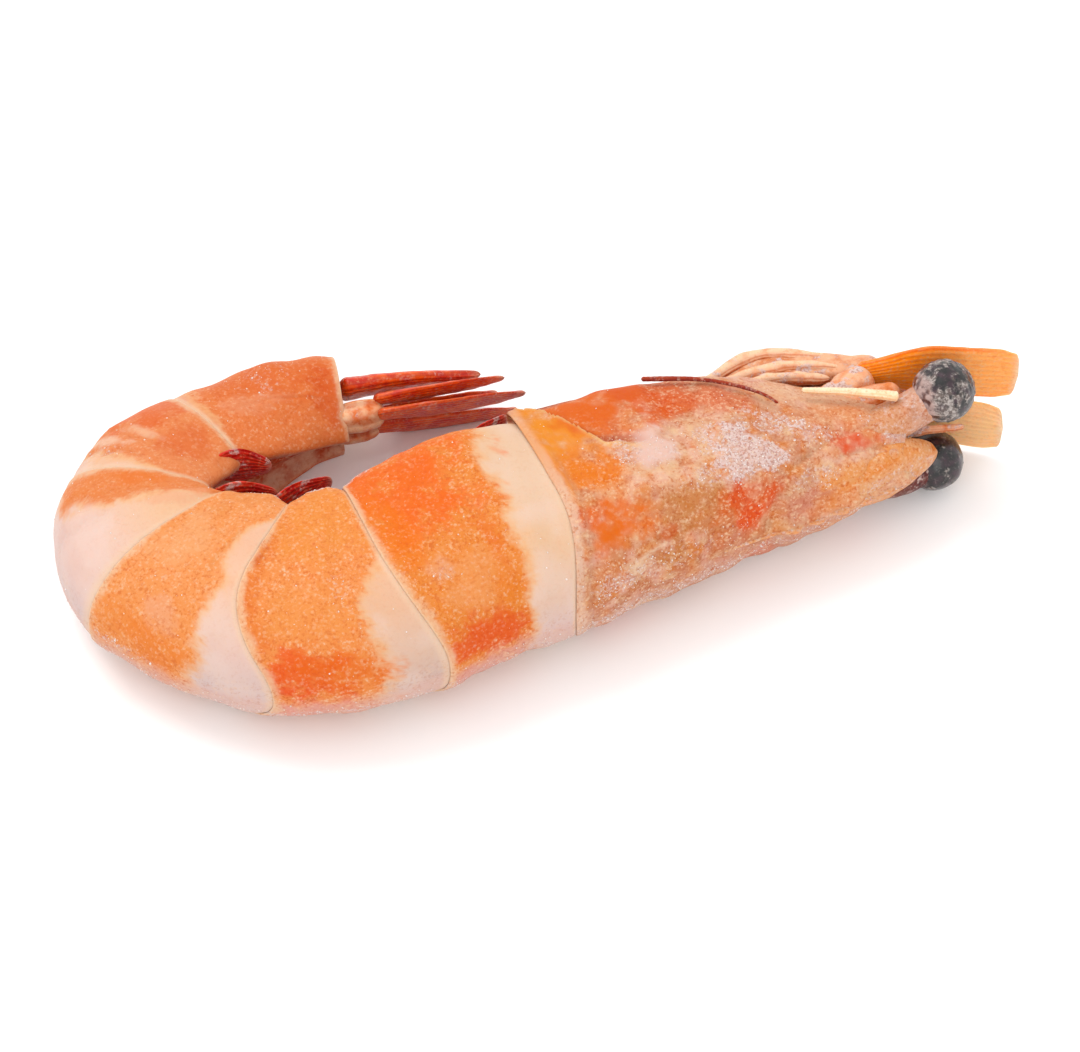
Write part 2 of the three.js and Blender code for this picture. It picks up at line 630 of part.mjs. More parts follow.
solids.carapace = headShell(0).add(beak());
SEGMENTS.forEach((_, number) => {
  solids[`abdomen_${number + 1}`] = tailPlate(number, 0);
});
solids.mouthparts = mouthParts().subtract(headGrown);
for (const [side, sign] of LEFT_RIGHT) {
  const base = feelerBase(sign, GAP);
  solids[`eye_${side}`] = eyeBall(side, sign, 0);
  solids[`eye_stalk_${side}`] = eyeStalk(side, sign).subtract(headGrown).subtract(eyeBall(side, sign, GAP));
  solids[`antenna_base_${side}`] = feelerBase(sign, 0).subtract(headGrown);
  solids[`antennal_scale_${side}`] = scale(side, sign).subtract(base);
  solids[`antennule_${side}`] = smallFeeler(sign).subtract(headGrown);
  solids[`maxilliped_${side}`] = leafLeg(sign, 0).subtract(headGrown).subtract(base);
  solids.mouthparts = solids.mouthparts.subtract(base).subtract(leafLeg(sign, GAP));
  for (let number = 0; number < LANES.length; number++) {
    const before = number > 0 ? plateGrown[number - 1] : headGrown;
    solids[`leg_${side}_${number + 1}`] = leg(number, sign).subtract(headGrown);
    solids[`pleopod_${side}_${number + 1}`] = paddle(number, sign)
      .subtract(before)
      .subtract(plateGrown[number])
      .subtract(plateGrown[number + 1]);
  }
  const fan = fanBase(sign, GAP);
  solids[`uropod_base_${side}`] = fanBase(sign, 0).subtract(plateGrown.at(-1));
  solids[`uropod_inner_${side}`] = fanBlade(FAN.inner, side, sign).subtract(fan);
  solids[`uropod_outer_${side}`] = fanBlade(FAN.outer, side, sign).subtract(fan);
}
solids.telson = telson();
solids.feeler_stub = thread(STUB, 6);
solids.feeler_strand = thread(STRAND, 10);

// The colour and roughness of each kind of piece, by the first word of its name.
const FINISHES = {
  carapace: ["#df9c74", 0.5],
  abdomen: ["#e68d52", 0.45],
  telson: ["#d4512c", 0.45],
  uropod: ["#d4512c", 0.45],
  eye: ["#2c2a2d", 0.35],
  stalk: ["#a8695f", 0.5],
  antenna: ["#dd9a62", 0.5],
  antennal: ["#e8943a", 0.4],
  antennule: ["#d98f5e", 0.5],
  maxilliped: ["#e3a873", 0.5],
  mouthparts: ["#d8a07a", 0.55],
  leg: ["#e3a267", 0.5],
  pleopod: ["#b23a2c", 0.5],
  feeler: ["#c98b62", 0.5],
};

function finish(name) {
  const [color, roughness] = FINISHES[name.includes("stalk") ? "stalk" : name.split("_")[0]];
  return new THREE.MeshStandardMaterial({ color, roughness, metalness: 0 });
}

const prawn = new THREE.Group();
for (const [name, solid] of Object.entries(solids)) {
  const reachesTable = solid.boundingBox().min[1] < -MID_HEIGHT;
  const mesh = new THREE.Mesh(geometryOf(reachesTable ? solid.subtract(table()) : solid), finish(name));
  mesh.name = name;
  prawn.add(mesh);
}

// Lying on the right side, turned to its place, with the origin at the bottom centre.
const lying = new THREE.Group();
lying.rotation.x = 90 * RAD;
lying.position.z = MID_HEIGHT;
lying.add(prawn);
const headed = new THREE.Group();
headed.rotation.z = LIE_TURN * RAD;
headed.add(lying);
const part = new THREE.Group();
part.add(headed);
const box = new THREE.Box3().setFromObject(part, true);
part.position.set(-(box.min.x + box.max.x) / 2, -(box.min.y + box.max.y) / 2, -box.min.z);

export default part;
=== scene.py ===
# A whole king prawn, cooked in its shell and frozen, lying on its right side with the tail curled round.
# Lengths are in millimetres in the prawn's own frame: x ahead of it, y to its left and z up from its back, with
# the origin inside the body at the rear rim of the head shell. on_table() takes them to the frame's metres.
import math

import bpy
import numpy as np
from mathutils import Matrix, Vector


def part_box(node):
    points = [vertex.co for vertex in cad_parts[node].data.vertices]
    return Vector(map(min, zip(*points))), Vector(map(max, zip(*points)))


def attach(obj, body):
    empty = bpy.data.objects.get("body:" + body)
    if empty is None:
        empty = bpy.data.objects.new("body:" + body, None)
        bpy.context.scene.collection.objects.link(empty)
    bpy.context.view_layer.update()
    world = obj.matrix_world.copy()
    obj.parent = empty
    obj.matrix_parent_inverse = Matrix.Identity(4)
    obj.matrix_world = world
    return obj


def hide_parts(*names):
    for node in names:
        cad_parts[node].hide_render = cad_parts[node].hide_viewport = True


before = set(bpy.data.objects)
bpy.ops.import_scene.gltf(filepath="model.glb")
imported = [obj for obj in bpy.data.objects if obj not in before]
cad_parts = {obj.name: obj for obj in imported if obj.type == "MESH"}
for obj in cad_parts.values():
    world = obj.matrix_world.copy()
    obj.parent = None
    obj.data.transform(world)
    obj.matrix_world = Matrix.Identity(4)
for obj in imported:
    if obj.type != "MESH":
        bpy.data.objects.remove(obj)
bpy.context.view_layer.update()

# Tail plates
# Six hoops of thin shell, each lapped over the front of the next like roof tiles, with the meat cooked fast to
# them. Cooking has turned their dark bands orange, and the skin that slides under the next rim stays pale.
MM = 0.001
LIE_TURN = math.radians(20)  # how far the head points away from the frame's x axis
# The eyes' middles, each on its own side.
EYES = {"left": (36.3, 4.7, -0.2), "right": (35.8, 4.15, -0.1)}
# The tail's segments: length, degrees that the body bends over it, how far behind the ridge the rim's lower end
# lies, and how far forward the rim is drawn halfway down.
SEGMENTS = [
    {"length": 12.8, "bend": -8, "sweep": 2.2, "draw": -0.6},
    {"length": 9.4, "bend": 34, "sweep": 1.4, "draw": -2.4},
    {"length": 11.4, "bend": 40, "sweep": 0.1, "draw": -0.2},
    {"length": 7.4, "bend": 56, "sweep": 0.2, "draw": 0.2},
    {"length": 8.2, "bend": 40, "sweep": 0.2, "draw": 0.2},
    {"length": 12.6, "bend": 24, "sweep": -0.4, "draw": 0.0},
]
HEAD_RIM = {"sweep": -0.6, "draw": 1.1}
TAIL = {"lift": 1.5, "roll": 28}  # how far its end is lifted off the table, and the degrees that it rolls
# How far the body reaches from its middle line to a side, to the ridge, to the flaps' edges and to the belly,
# at places behind the head shell's rim. Places ahead of the rim are negative.
GIRTH = {
    "at": [-32.0, -27.0, -20.0, -10.0, 0.0, 12.8, 22.0, 33.5, 41.0, 49.0, 61.6],
    "wide": [3.6, 5.2, 6.4, 7.2, 7.1, 6.9, 6.7, 6.1, 5.4, 4.6, 3.3],
    "back": [4.0, 4.7, 5.5, 6.9, 8.7, 9.3, 9.4, 8.9, 7.8, 6.3, 4.2],
    "flap": [1.8, 4.2, 7.6, 9.4, 10.0, 9.2, 8.4, 7.0, 5.4, 5.2, 3.8],
    "belly": [1.2, 3.2, 5.2, 6.4, 6.6, 6.2, 5.4, 4.6, 3.8, 3.6, 3.0],
}
BODY_END = sum(segment["length"] for segment in SEGMENTS)
RIM_GAP = 0.45  # from a rim to where the next plate begins to show
SHELL_STEP = 0.08  # how far the front of a plate lies in
SHELL_FLARE = 0.06  # how far its rear rim stands out
TUCK = {"long": 1.2, "deep": 0.3}  # how a plate runs on under the one before it
FLAP = {"tuck": 0.27, "thick": 0.75, "notched": 0.9}  # notched: how low it still hangs between two plates
SIDE_SHARE = 6 / 9  # of the way down a side at which its widest place lies
SIDE_GIRTH = 22.0  # millimetres from the ridge down to the flap's edge
INNER_SHARE = 1.6  # where the middle of the belly lies, on the same scale as the flap's edge at 1
POINT_STEP = 0.2  # between two rows of a shell's mesh
SIDE_POINTS = 108  # in a row, from the ridge down to the flap's edge
BELLY_POINTS = 26  # from there to the middle of the belly
CLEARANCE = 0.1  # over the table, within which the round side is pressed flat
# A plate's thin rear rim in section: how far past the rim, and how far out.
RIM_SECTION = [(0.07, 0.03), (0.12, -0.02), (0.13, -0.08), (0.08, -0.17), (-0.05, -0.27), (-0.5, -0.5)]


def smooth(t):
    c = np.clip(t, 0, 1)
    return c * c * (3 - 2 * c)


def mix(a, b, t):
    return a + (b - a) * t


def girth(at, measure):
    """One measure of the body at places along it, on a smooth curve through its table."""
    knots, values = np.array(GIRTH["at"]), np.array(GIRTH[measure])
    at = np.clip(at, knots[0], knots[-1])
    last = len(knots) - 1
    k = np.clip(np.searchsorted(knots, at, side="right") - 1, 0, last - 1)
    every = np.arange(last + 1)
    before, after = np.maximum(every - 1, 0), np.minimum(every + 1, last)
    slope = (values[after] - values[before]) / (knots[after] - knots[before])
    step = knots[k + 1] - knots[k]
    t = (at - knots[k]) / step
    return (
        (2 * t**3 - 3 * t**2 + 1) * values[k]
        + (t**3 - 2 * t**2 + t) * step * slope[k]
        + (3 * t**2 - 2 * t**3) * values[k + 1]
        + (t**3 - t**2) * step * slope[k + 1]
    )


def middle(at):
    """Place and direction of the body's middle line, an arc of its own bend for each tail segment."""
    x, z, turned = -np.minimum(at, 0.0), np.zeros_like(at), np.zeros_like(at)
    left = np.maximum(at, 0.0)
    for segment in SEGMENTS:
        run = np.minimum(left, segment["length"])
        turn = math.radians(segment["bend"]) * run / segment["length"]
        chord = run * np.sinc(turn / (2 * math.pi))
        x = x - chord * np.cos(turned + turn / 2)
        z = z - chord * np.sin(turned + turn / 2)
        turned = turned + turn
        left = left - run
    return x - left * np.cos(turned), z - left * np.sin(turned), turned


def body_points(at, out, up):
    """Points of the body: along it, out to its left and up towards its back."""
    at, out, up = np.broadcast_arrays(np.asarray(at, float), out, up)
    x, z, turned = middle(at)
    last = smooth((at - BODY_END + SEGMENTS[-1]["length"]) / SEGMENTS[-1]["length"])
    roll = math.radians(TAIL["roll"]) * last
    lean = girth(np.maximum(at, 0.0), "wide") - girth(0.0, "wide") + TAIL["lift"] * last
    left = out * np.cos(roll) + up * np.sin(roll)
    back = up * np.cos(roll) - out * np.sin(roll)
    return np.stack([x - back * np.sin(turned), left + lean, z + back * np.cos(turned)], -1)


def turned_flat(points):
    """The prawn's own frame turned as it lies, still in millimetres and with its own origin."""
    x, y, z = np.moveaxis(np.asarray(points, float), -1, 0)
    c, s = math.cos(LIE_TURN), math.sin(LIE_TURN)
    return np.stack([x * c + z * s, x * s - z * c, y], -1)


EYE_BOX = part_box("eye_left")
ORIGIN = np.array((EYE_BOX[0] + EYE_BOX[1]) / 2) / MM - turned_flat(EYES["left"])


def on_table(points):
    """Points of the prawn's own frame, in millimetres, as places in the frame, in metres. What would reach
    into the table is pressed flat."""
    lying = turned_flat(points) + ORIGIN
    lying[..., 2] = CLEARANCE * np.logaddexp(0, lying[..., 2] / CLEARANCE)
    return lying * MM


def lumps(at, around):
    """The gentle unevenness of the whole body, places along and around it."""
    return (
        0.12 * np.sin(0.55 * at + 1.7 * np.cos(around))
        + 0.09 * np.sin(1.15 * at - 2.3 * around + 0.8)
        + 0.05 * np.sin(2.1 * at + 3.1 * around)
    )


def outline(at, down, lobe, step):
    """How far up and out the left half of the outline lies. down is 0 at the ridge, 1 at the flap's edge."""
    wide = girth(at, "wide") + step
    back = girth(at, "back") + step
    belly = girth(at, "belly")
    flap = mix(belly + FLAP["notched"], girth(at, "flap"), lobe) + step
    around = np.clip(down / SIDE_SHARE, 0, 1) * math.pi / 2
    below = np.clip((down - SIDE_SHARE) / (1 - SIDE_SHARE), 0, 1)
    swell = lumps(at, around)
    side = (wide + np.where(below > 0, lumps(at, math.pi / 2 + below), swell)) * (1 - FLAP["tuck"] * below**2)
    upper = down <= SIDE_SHARE
    up = np.where(upper, (back + swell) * np.cos(around), -flap * np.sin(below * math.pi / 2))
    out = np.where(upper, (wide + swell) * np.sin(around) ** 0.92, side)
    inner = np.clip((down - 1) / (INNER_SHARE - 1), 0, 1)
    edge = (1 - FLAP["tuck"]) * wide - FLAP["thick"]
    knots = np.array([0.0, 0.08, 0.3, 0.65, 1.0])
    ups = [-flap, -flap + 0.1, -mix(belly, flap, 0.3), -belly, -belly - 0.25]
    outs = [out, edge + 0.1, edge - 0.2, 0.4 * edge, 0 * edge]
    k = np.clip(np.searchsorted(knots, inner, side="right") - 1, 0, 3)
    t = (inner - knots[k]) / (knots[k + 1] - knots[k])
    low_up, high_up = np.choose(k, ups[:4]), np.choose(k, ups[1:])
    low_out, high_out = np.choose(k, outs[:4]), np.choose(k, outs[1:])
    up = np.where(down > 1, mix(low_up, high_up, t), up)
    out = np.where(down > 1, mix(low_out, high_out, t), out)
    return up, out


def rim_place(at, rim, down):
    """Where along the body a rim lies that is at this place on the ridge."""
    down = np.minimum(down, 1)
    return at + rim["sweep"] * smooth(down) ** 1.4 - rim["draw"] * np.sin(math.pi * down) ** 2


def grain(points, size, seed):
    """Smooth random bumps from -1 to 1, about size apart, the same on every run."""
    cells = 32
    lattice = np.random.default_rng(seed).uniform(-1, 1, (cells, cells, cells))
    low = np.floor(points / size).astype(int)
    share = smooth(points / size - low)
    total = np.zeros(points.shape[:-1])
    for corner in np.ndindex(2, 2, 2):
        weight = np.prod(np.where(np.array(corner) == 1, share, 1 - share), axis=-1)
        i, j, k = np.moveaxis((low + corner) % cells, -1, 0)
        total += weight * lattice[i, j, k]
    return total


def ragged(points, size, seed):
    """Unevenness for the border of a blot, in tongues about size apart with smaller ones on them."""
    smaller = 0.6 * grain(points, size * 0.42, seed + 1)
    return grain(points, size, seed) + smaller + 0.4 * grain(points, 0.3, seed + 2)


def placed(name, data):
    """A new object of the scene with this mesh, light or camera."""
    made = bpy.data.objects.new(name, data)
    bpy.context.scene.collection.objects.link(made)
    return made


def skin(name, points, values, look):
    """A closed mesh over rings of points (rings, points around, 3), with their values as attributes."""
    rings, around = points.shape[:2]
    flat = on_table(points.reshape(-1, 3))
    i, j = np.meshgrid(np.arange(rings - 1), np.arange(around), indexing="ij")
    a, b = i * around + j, i * around + (j + 1) % around
    quads = np.stack([a, b, b + around, a + around], -1).reshape(-1, 4)
    first, last = np.arange(around), (rings - 1) * around + np.arange(around)
    flat = np.concatenate([flat, flat[first].mean(0, keepdims=True), flat[last].mean(0, keepdims=True)])
    front_cap = np.stack([np.roll(first, -1), first, np.full(around, len(flat) - 2)], -1)
    rear_cap = np.stack([last, np.roll(last, -1), np.full(around, len(flat) - 1)], -1)
    corners = flat[quads] - flat.mean(0)
    sixfold = (corners[:, 0] * np.cross(corners[:, 1], corners[:, 2])).sum()
    sixfold += (corners[:, 0] * np.cross(corners[:, 2], corners[:, 3])).sum()
    faces = []
    for group in (quads, front_cap, rear_cap):
        faces += (group if sixfold > 0 else group[:, ::-1]).tolist()
    mesh = bpy.data.meshes.new(name)
    mesh.from_pydata(flat.tolist(), [], faces)
    for key, value in values.items():
        coloured = key == "tint"
        shape = (rings, around, 3 if coloured else 1)
        value = np.broadcast_to(value if coloured else value[..., None], shape).reshape(-1, shape[2])
        value = np.concatenate([value, [value[first].mean(0), value[last].mean(0)]])
        if coloured:
            value = np.concatenate([value, np.ones((len(value), 1))], -1)
        attribute = mesh.attributes.new(key, "FLOAT_COLOR" if coloured else "FLOAT", "POINT")
        attribute.data.foreach_set("color" if coloured else "value", value.reshape(-1).astype(np.float32))
    mesh.shade_smooth()
    mesh.materials.append(look)
    return placed(name, mesh)


def around_body():
    """The way round a shell, from the ridge down the left side, across the belly and up the right side."""
    half = np.concatenate([np.linspace(0, 1, SIDE_POINTS), np.linspace(1, INNER_SHARE, BELLY_POINTS)[1:]])
    down = np.concatenate([half, half[-2:0:-1]])
    side = np.concatenate([np.ones(len(half)), -np.ones(len(half) - 2)])
    return down, side


# How bright the light is that the colours below were judged in, and how much white its gloss adds to them.
IN_LIGHT = {"bright": 1.5, "gloss": 0.042}


def shade(code, bright=IN_LIGHT["bright"]):
    """A colour's code, as it looks in light that bright, as the four linear values of the thing itself."""
    values = [int(code[i : i + 2], 16) / 255 for i in (1, 3, 5)]
    linear = [v / 12.92 if v <= 0.04045 else ((v + 0.055) / 1.055) ** 2.4 for v in values]
    return (*[min(max(v - IN_LIGHT["gloss"], 0.001) / bright, 0.96) for v in linear], 1.0)


def washed(code, shape):
    """The tints of a shell's points, all in one colour."""
    return np.broadcast_to(shade(code)[:3], (*shape, 3))


def brushed(tint, code, share):
    """The tints of a shell's points with another colour brushed over them."""
    return tint + (np.array(shade(code)[:3]) - tint) * np.clip(share, 0, 1)[..., None]


def blot(along, down, centre, size, uneven=0.0):
    """1 in a blot on a shell and 0 outside it, with a soft border that the unevenness makes ragged."""
    apart = ((along - centre[0]) / size[0]) ** 2 + ((down - centre[1]) / size[1]) ** 2
    return smooth((1.55 - apart + uneven) / 1.5)


def bell(apart, wide):
    """1 where apart is 0, falling to almost nothing at twice the width."""
    return np.exp(-((apart / wide) ** 2))


def near_line(along, down, path, wide, length):
    """1 on a line across a shell of this length, falling off over its width in millimetres."""
    nearest = np.full(np.broadcast(along, down).shape, 1e9)
    for (a0, d0), (a1, d1) in zip(path, path[1:]):
        ax, ay = (a1 - a0) * length, (d1 - d0) * SIDE_GIRTH
        px, py = (along - a0) * length, (down - d0) * SIDE_GIRTH
        share = np.clip((px * ax + py * ay) / (ax * ax + ay * ay), 0, 1)
        nearest = np.minimum(nearest, np.hypot(px - share * ax, py - share * ay))
    return bell(nearest, wide)


def relief(points, frost, grit):
    """How far the shell's own grain and the frost on it stand out."""
    crystals = frost * (0.03 + 0.10 * np.abs(grain(points, 0.45, 3)) + 0.08 * np.abs(grain(points, 0.24, 4)))
    return (0.02 + 0.03 * grit) * grain(points, 1.2, 1) + 0.022 * grit * grain(points, 0.42, 2) + crystals


def plate_lobe(t):
    """How far down the flap of a tail plate reaches, from its front at 0 to its rear at 1."""
    return 0.25 + 0.75 * np.sin(math.pi * mix(0.1, 0.9, np.clip(t, 0, 1))) ** 0.7


# What each plate looks like. band: how far the pale skin at its front reaches, as shares of the plate's length
# at shares of the way down its side. pale: the skin's colour at such shares. blots: colour, place, size and
# strength. frost: place, size and depth. creases: their path, and how deep they are.
TAIL_LOOKS = [
    {
        "band": [(0.0, 0.33), (0.3, 0.30), (0.62, 0.31), (0.8, 0.24), (1.0, 0.12)],
        "pale": [(0.0, "#e6cbc6"), (0.15, "#efcdba"), (0.42, "#f2c8a4"), (0.7, "#f3d0b4"), (1.0, "#eec39c")],
        "orange": "#f39650", "speckled": 0.75,
        "blots": [
            ("#ee6410", (0.70, 0.13), (0.34, 0.13), 0.85),
            ("#f9781a", (0.70, 0.86), (0.42, 0.21), 0.95),
            ("#f98536", (0.90, 0.66), (0.12, 0.16), 0.7),
            ("#f6a468", (0.62, 0.40), (0.22, 0.17), 0.8),
            ("#f0873a", (0.45, 0.30), (0.10, 0.12), 0.6),
            ("#ef7a35", (0.42, 0.55), (0.06, 0.12), 0.6),
            ("#f4b58e", (0.80, 0.47), (0.10, 0.06), 0.5),
        ],
        "frost": [((0.78, 0.46), (0.10, 0.05), 0.3), ((0.86, 0.97), (0.3, 0.04), 0.7)],
        "creases": [],
    },
    {
        "band": [(0.0, 0.37), (0.14, 0.34), (0.43, 0.26), (0.6, 0.08), (0.68, -0.1), (1.0, -0.2)],
        "pale": [(0.0, "#dcc0b6"), (0.15, "#e8c6b2"), (0.4, "#f1c3a4"), (0.62, "#f7c6a4"), (1.0, "#f3ba90")],
        "orange": "#f79c5c", "speckled": 0.8,
        "blots": [
            ("#f56006", (0.76, 0.11), (0.26, 0.16), 0.95),
            ("#f37c33", (0.60, 0.14), (0.30, 0.12), 0.7),
            ("#f69c50", (0.50, 0.80), (0.50, 0.16), 0.7),
            ("#ee8040", (0.92, 0.52), (0.08, 0.20), 0.6),
            ("#f8a25e", (0.60, 0.45), (0.30, 0.14), 0.6),
            ("#e06a38", (0.97, 0.66), (0.05, 0.04), 0.8),
        ],
        "frost": [((0.5, 0.98), (0.5, 0.045), 0.85), ((0.35, 0.5), (0.08, 0.1), 0.2)],
        "creases": [([(0.97, 0.60), (0.93, 0.67), (0.96, 0.72)], 0.12)],
    },
    {
        "band": [
            (0.0, 0.42), (0.12, 0.40), (0.35, 0.28), (0.5, 0.16), (0.56, 0.13),
            (0.62, 0.24), (0.72, 0.26), (0.8, 0.0), (1.0, -0.1),
        ],
        "pale": [
            (0.0, "#e3ccc8"), (0.2, "#eecdc2"), (0.45, "#f6cdb6"),
            (0.6, "#f8bc90"), (0.7, "#f7b482"), (1.0, "#f3bf98"),
        ],
        "orange": "#f8a264", "speckled": 0.7,
        "blots": [
            ("#f69450", (0.84, 0.13), (0.14, 0.15), 0.5),
            ("#f58a44", (0.60, 0.12), (0.16, 0.12), 0.7),
            ("#f9b27c", (0.70, 0.62), (0.30, 0.12), 0.7),
            ("#f09a5c", (0.55, 0.86), (0.30, 0.10), 0.6),
            ("#f6b491", (0.55, 0.30), (0.12, 0.08), 0.5),
        ],
        "frost": [((0.80, 0.0), (0.2, 0.06), 0.4), ((0.5, 0.98), (0.5, 0.04), 0.5)],
        "creases": [([(0.28, 0.58), (0.30, 0.66), (0.25, 0.73)], 0.12)],
    },
    {
        "band": [(0.0, 0.95), (0.15, 0.85), (0.3, 0.68), (0.5, 0.60), (0.75, 0.50), (0.9, 0.1), (1.0, -0.1)],
        "pale": [(0.0, "#e4ccc9"), (0.2, "#f0cdc2"), (0.45, "#f5cdb9"), (0.7, "#f8caa4"), (1.0, "#f3b98d")],
        "orange": "#f0925a", "speckled": 0.35,
        "blots": [
            ("#f1874a", (0.86, 0.60), (0.12, 0.12), 0.8),
            ("#f6b08a", (0.30, 0.75), (0.25, 0.10), 0.5),
            ("#f8d8cc", (0.35, 0.35), (0.25, 0.10), 0.6),
            ("#ef9a6e", (0.70, 0.28), (0.06, 0.10), 0.55),
        ],
        "frost": [],
        "creases": [
            ([(0.46, 0.12), (0.52, 0.20), (0.44, 0.27), (0.50, 0.36), (0.45, 0.46)], 0.16),
            ([(0.70, 0.20), (0.76, 0.30), (0.69, 0.42), (0.74, 0.52)], 0.14),
        ],
    },
    {
        "band": [(0.0, 0.40), (0.2, 0.22), (0.4, 0.16), (0.6, 0.10), (0.8, -0.1), (1.0, -0.2)],
        "pale": [(0.0, "#e8c4ba"), (0.3, "#f6cbb0"), (0.6, "#f7b98c"), (1.0, "#f0a070")],
        "orange": "#f09562", "speckled": 0.4,
        "blots": [
            ("#ea7040", (0.75, 0.35), (0.30, 0.25), 0.7),
            ("#f8cdb0", (0.30, 0.32), (0.05, 0.16), 0.8),
            ("#f8c6a2", (0.48, 0.48), (0.05, 0.14), 0.7),
            ("#f6bd98", (0.40, 0.12), (0.20, 0.05), 0.6),
            ("#e46a3c", (0.60, 0.70), (0.30, 0.14), 0.5),
        ],
        "frost": [((0.2, 0.35), (0.08, 0.2), 0.25)],
        "creases": [
            ([(0.16, 0.16), (0.24, 0.26), (0.15, 0.36), (0.25, 0.46), (0.18, 0.58)], 0.18),
            ([(0.40, 0.22), (0.47, 0.34), (0.39, 0.46), (0.46, 0.56)], 0.15),
        ],
    },
    {
        "band": [(0.0, 0.12), (0.4, 0.08), (0.8, 0.0), (1.0, -0.1)],
        "pale": [(0.0, "#f0b79a"), (0.5, "#f2a277"), (1.0, "#ec8c5c")],
        "orange": "#ee8a56", "speckled": 0.5,
        "blots": [
            ("#e4703e", (0.60, 0.40), (0.40, 0.30), 0.6),
            ("#f0a078", (0.35, 0.62), (0.25, 0.07), 0.6),
            ("#ee8b5c", (0.75, 0.12), (0.30, 0.08), 0.6),
            ("#df6236", (0.90, 0.60), (0.15, 0.20), 0.55),
        ],
        "frost": [((0.5, 0.4), (0.2, 0.2), 0.2), ((0.5, 0.0), (0.6, 0.05), 0.4)],
        "creases": [([(0.2, 0.66), (0.5, 0.62), (0.8, 0.66)], 0.12)],
    },
]
# Colours that the plates share: milky clouds in the pale skin, its border with the orange, painted shade on the
# shell beyond the ridge, the rear rim, and painted light that pales the gap where a plate's front slides under
# the plate before.
PLATE_HUES = {"cloud": "#f9e0d4", "halo": "#f9bd86", "beyond": "#e9bfb4", "rim": "#f7cda8", "seam": "#fad8ba"}
FLESH = {"pale": "#edb597", "red": "#cf5f3a"}  # the belly between the flaps
CREASE = {"wide": 0.28, "fold": 0.5, "fold_wide": 0.3, "fold_share": 0.6}  # a furrow, and the fold behind it


def flesh_tint(tint, points, down):
    """The belly's own colours, inside the edges of the flaps."""
    inside = smooth((down - 1.0) / 0.05)
    tint = brushed(tint, FLESH["pale"], inside)
    return brushed(tint, FLESH["red"], inside * smooth(0.5 + ragged(points, 2.6, 60)))


def tail_tint(look, points, along, down, side, length):
    """The colour of each point of a plate, how gritty it looks and how much frost lies on it."""
    uneven = ragged(points, 1.7, 30) + 0.5 * grain(points, 0.22, 35)
    border = np.interp(down, *zip(*look["band"]))
    past = (along - border) * length + 0.55 * uneven
    orange = smooth(past / 0.8 + 0.5)
    shares, codes = zip(*look["pale"])
    hues = np.array([shade(code)[:3] for code in codes])
    pale = np.stack([np.interp(down, shares, hue) for hue in hues.T], -1)
    cloudy = smooth(0.3 + grain(points, 1.9, 33))
    tint = brushed(np.broadcast_to(pale, (*along.shape, 3)), PLATE_HUES["cloud"], 0.35 * cloudy)
    tint = brushed(tint, PLATE_HUES["halo"], bell(past + 0.15, 0.5) * 0.7)
    tint = brushed(tint, look["orange"], orange)
    plain = 0
    for code, centre, size, share in look["blots"]:
        covered = blot(along, down, centre, size, 0.9 * uneven) * share
        tint = brushed(tint, code, covered)
        plain = np.maximum(plain, covered)
    # painted shade: a duller pink on the shell just beyond the ridge, on the side that turns down to the table
    beyond = smooth((0.04 - side * down + 0.02 * uneven) / 0.1) * smooth((0.4 - down) / 0.1)
    tint = brushed(tint, PLATE_HUES["beyond"], beyond * 0.65)
    past_rim = (along - 1) * length
    tint = brushed(tint, PLATE_HUES["rim"], smooth((past_rim + 0.25 * uneven) / 0.5 + 1) * 0.75)
    # painted light: the front of the plate where it slides under the one before, and the rim's inner rows, are
    # painted paler to lighten the shade in the gap between them
    seam = 0.7 * smooth(0.5 - along * length / 0.5) + 0.5 * smooth(past_rim / 0.06)
    tint = brushed(tint, PLATE_HUES["seam"], seam)
    frost = sum(depth * blot(along, down, centre, size, 0.6 * uneven) for centre, size, depth in look["frost"])
    frost = frost * np.where(side > 0, 1, 0.5) + 0.5 * bell(side * down + 0.13, 0.06)
    grit = mix(0.12, look["speckled"], orange) * (1 - 0.6 * plain) + 0.3 * smooth(1 - down / 0.15)
    return flesh_tint(tint, points, down), np.clip(grit, 0, 1), np.clip(frost, 0, 1) * (down <= 1)


def segment_start(number):
    return sum(segment["length"] for segment in SEGMENTS[:number])


def tail_plate(number, look):
    """The points of a plate, and what each of them looks like."""
    length = SEGMENTS[number]["length"]
    front_rim = SEGMENTS[number - 1] if number > 0 else HEAD_RIM
    start = segment_start(number)
    tucked = -TUCK["long"] / length
    rows = np.linspace(tucked, 1, int(length / POINT_STEP))
    t = np.concatenate([rows, [1 + past / length for past, _ in RIM_SECTION]])
    step = -SHELL_STEP * (1 - smooth(t / 0.3)) + SHELL_FLARE * smooth((t - 0.7) / 0.3)
    step[t < 0] -= TUCK["deep"] * smooth(t[t < 0] / tucked)
    step[-len(RIM_SECTION):] = [out for _, out in RIM_SECTION]
    down, side = around_body()
    t, step = t[:, None], step[:, None]
    front = rim_place(start + RIM_GAP, front_rim, down)
    at = mix(front, rim_place(start + length, SEGMENTS[number], down), t)
    down = np.broadcast_to(down, at.shape)
    along = np.broadcast_to(t, at.shape)
    up, out = outline(at, down, plate_lobe(t), step)
    rough = body_points(at, side * out, up)
    tint, grit, frost = tail_tint(look, rough, along, down, side, length)
    bumps = relief(rough, frost, grit)
    for path, deep in look["creases"]:
        furrow = near_line(along, down, path, CREASE["wide"], length)
        fold = near_line(along - CREASE["fold"] / length, down, path, CREASE["fold_wide"], length)
        bumps = bumps - deep * furrow + CREASE["fold_share"] * deep * fold
    up, out = outline(at, down, plate_lobe(t), step + bumps * (down <= 1))
    values = {"along": along, "down": down, "tint": tint, "grit": grit, "frost": frost}
    return body_points(at, side * out, up), values


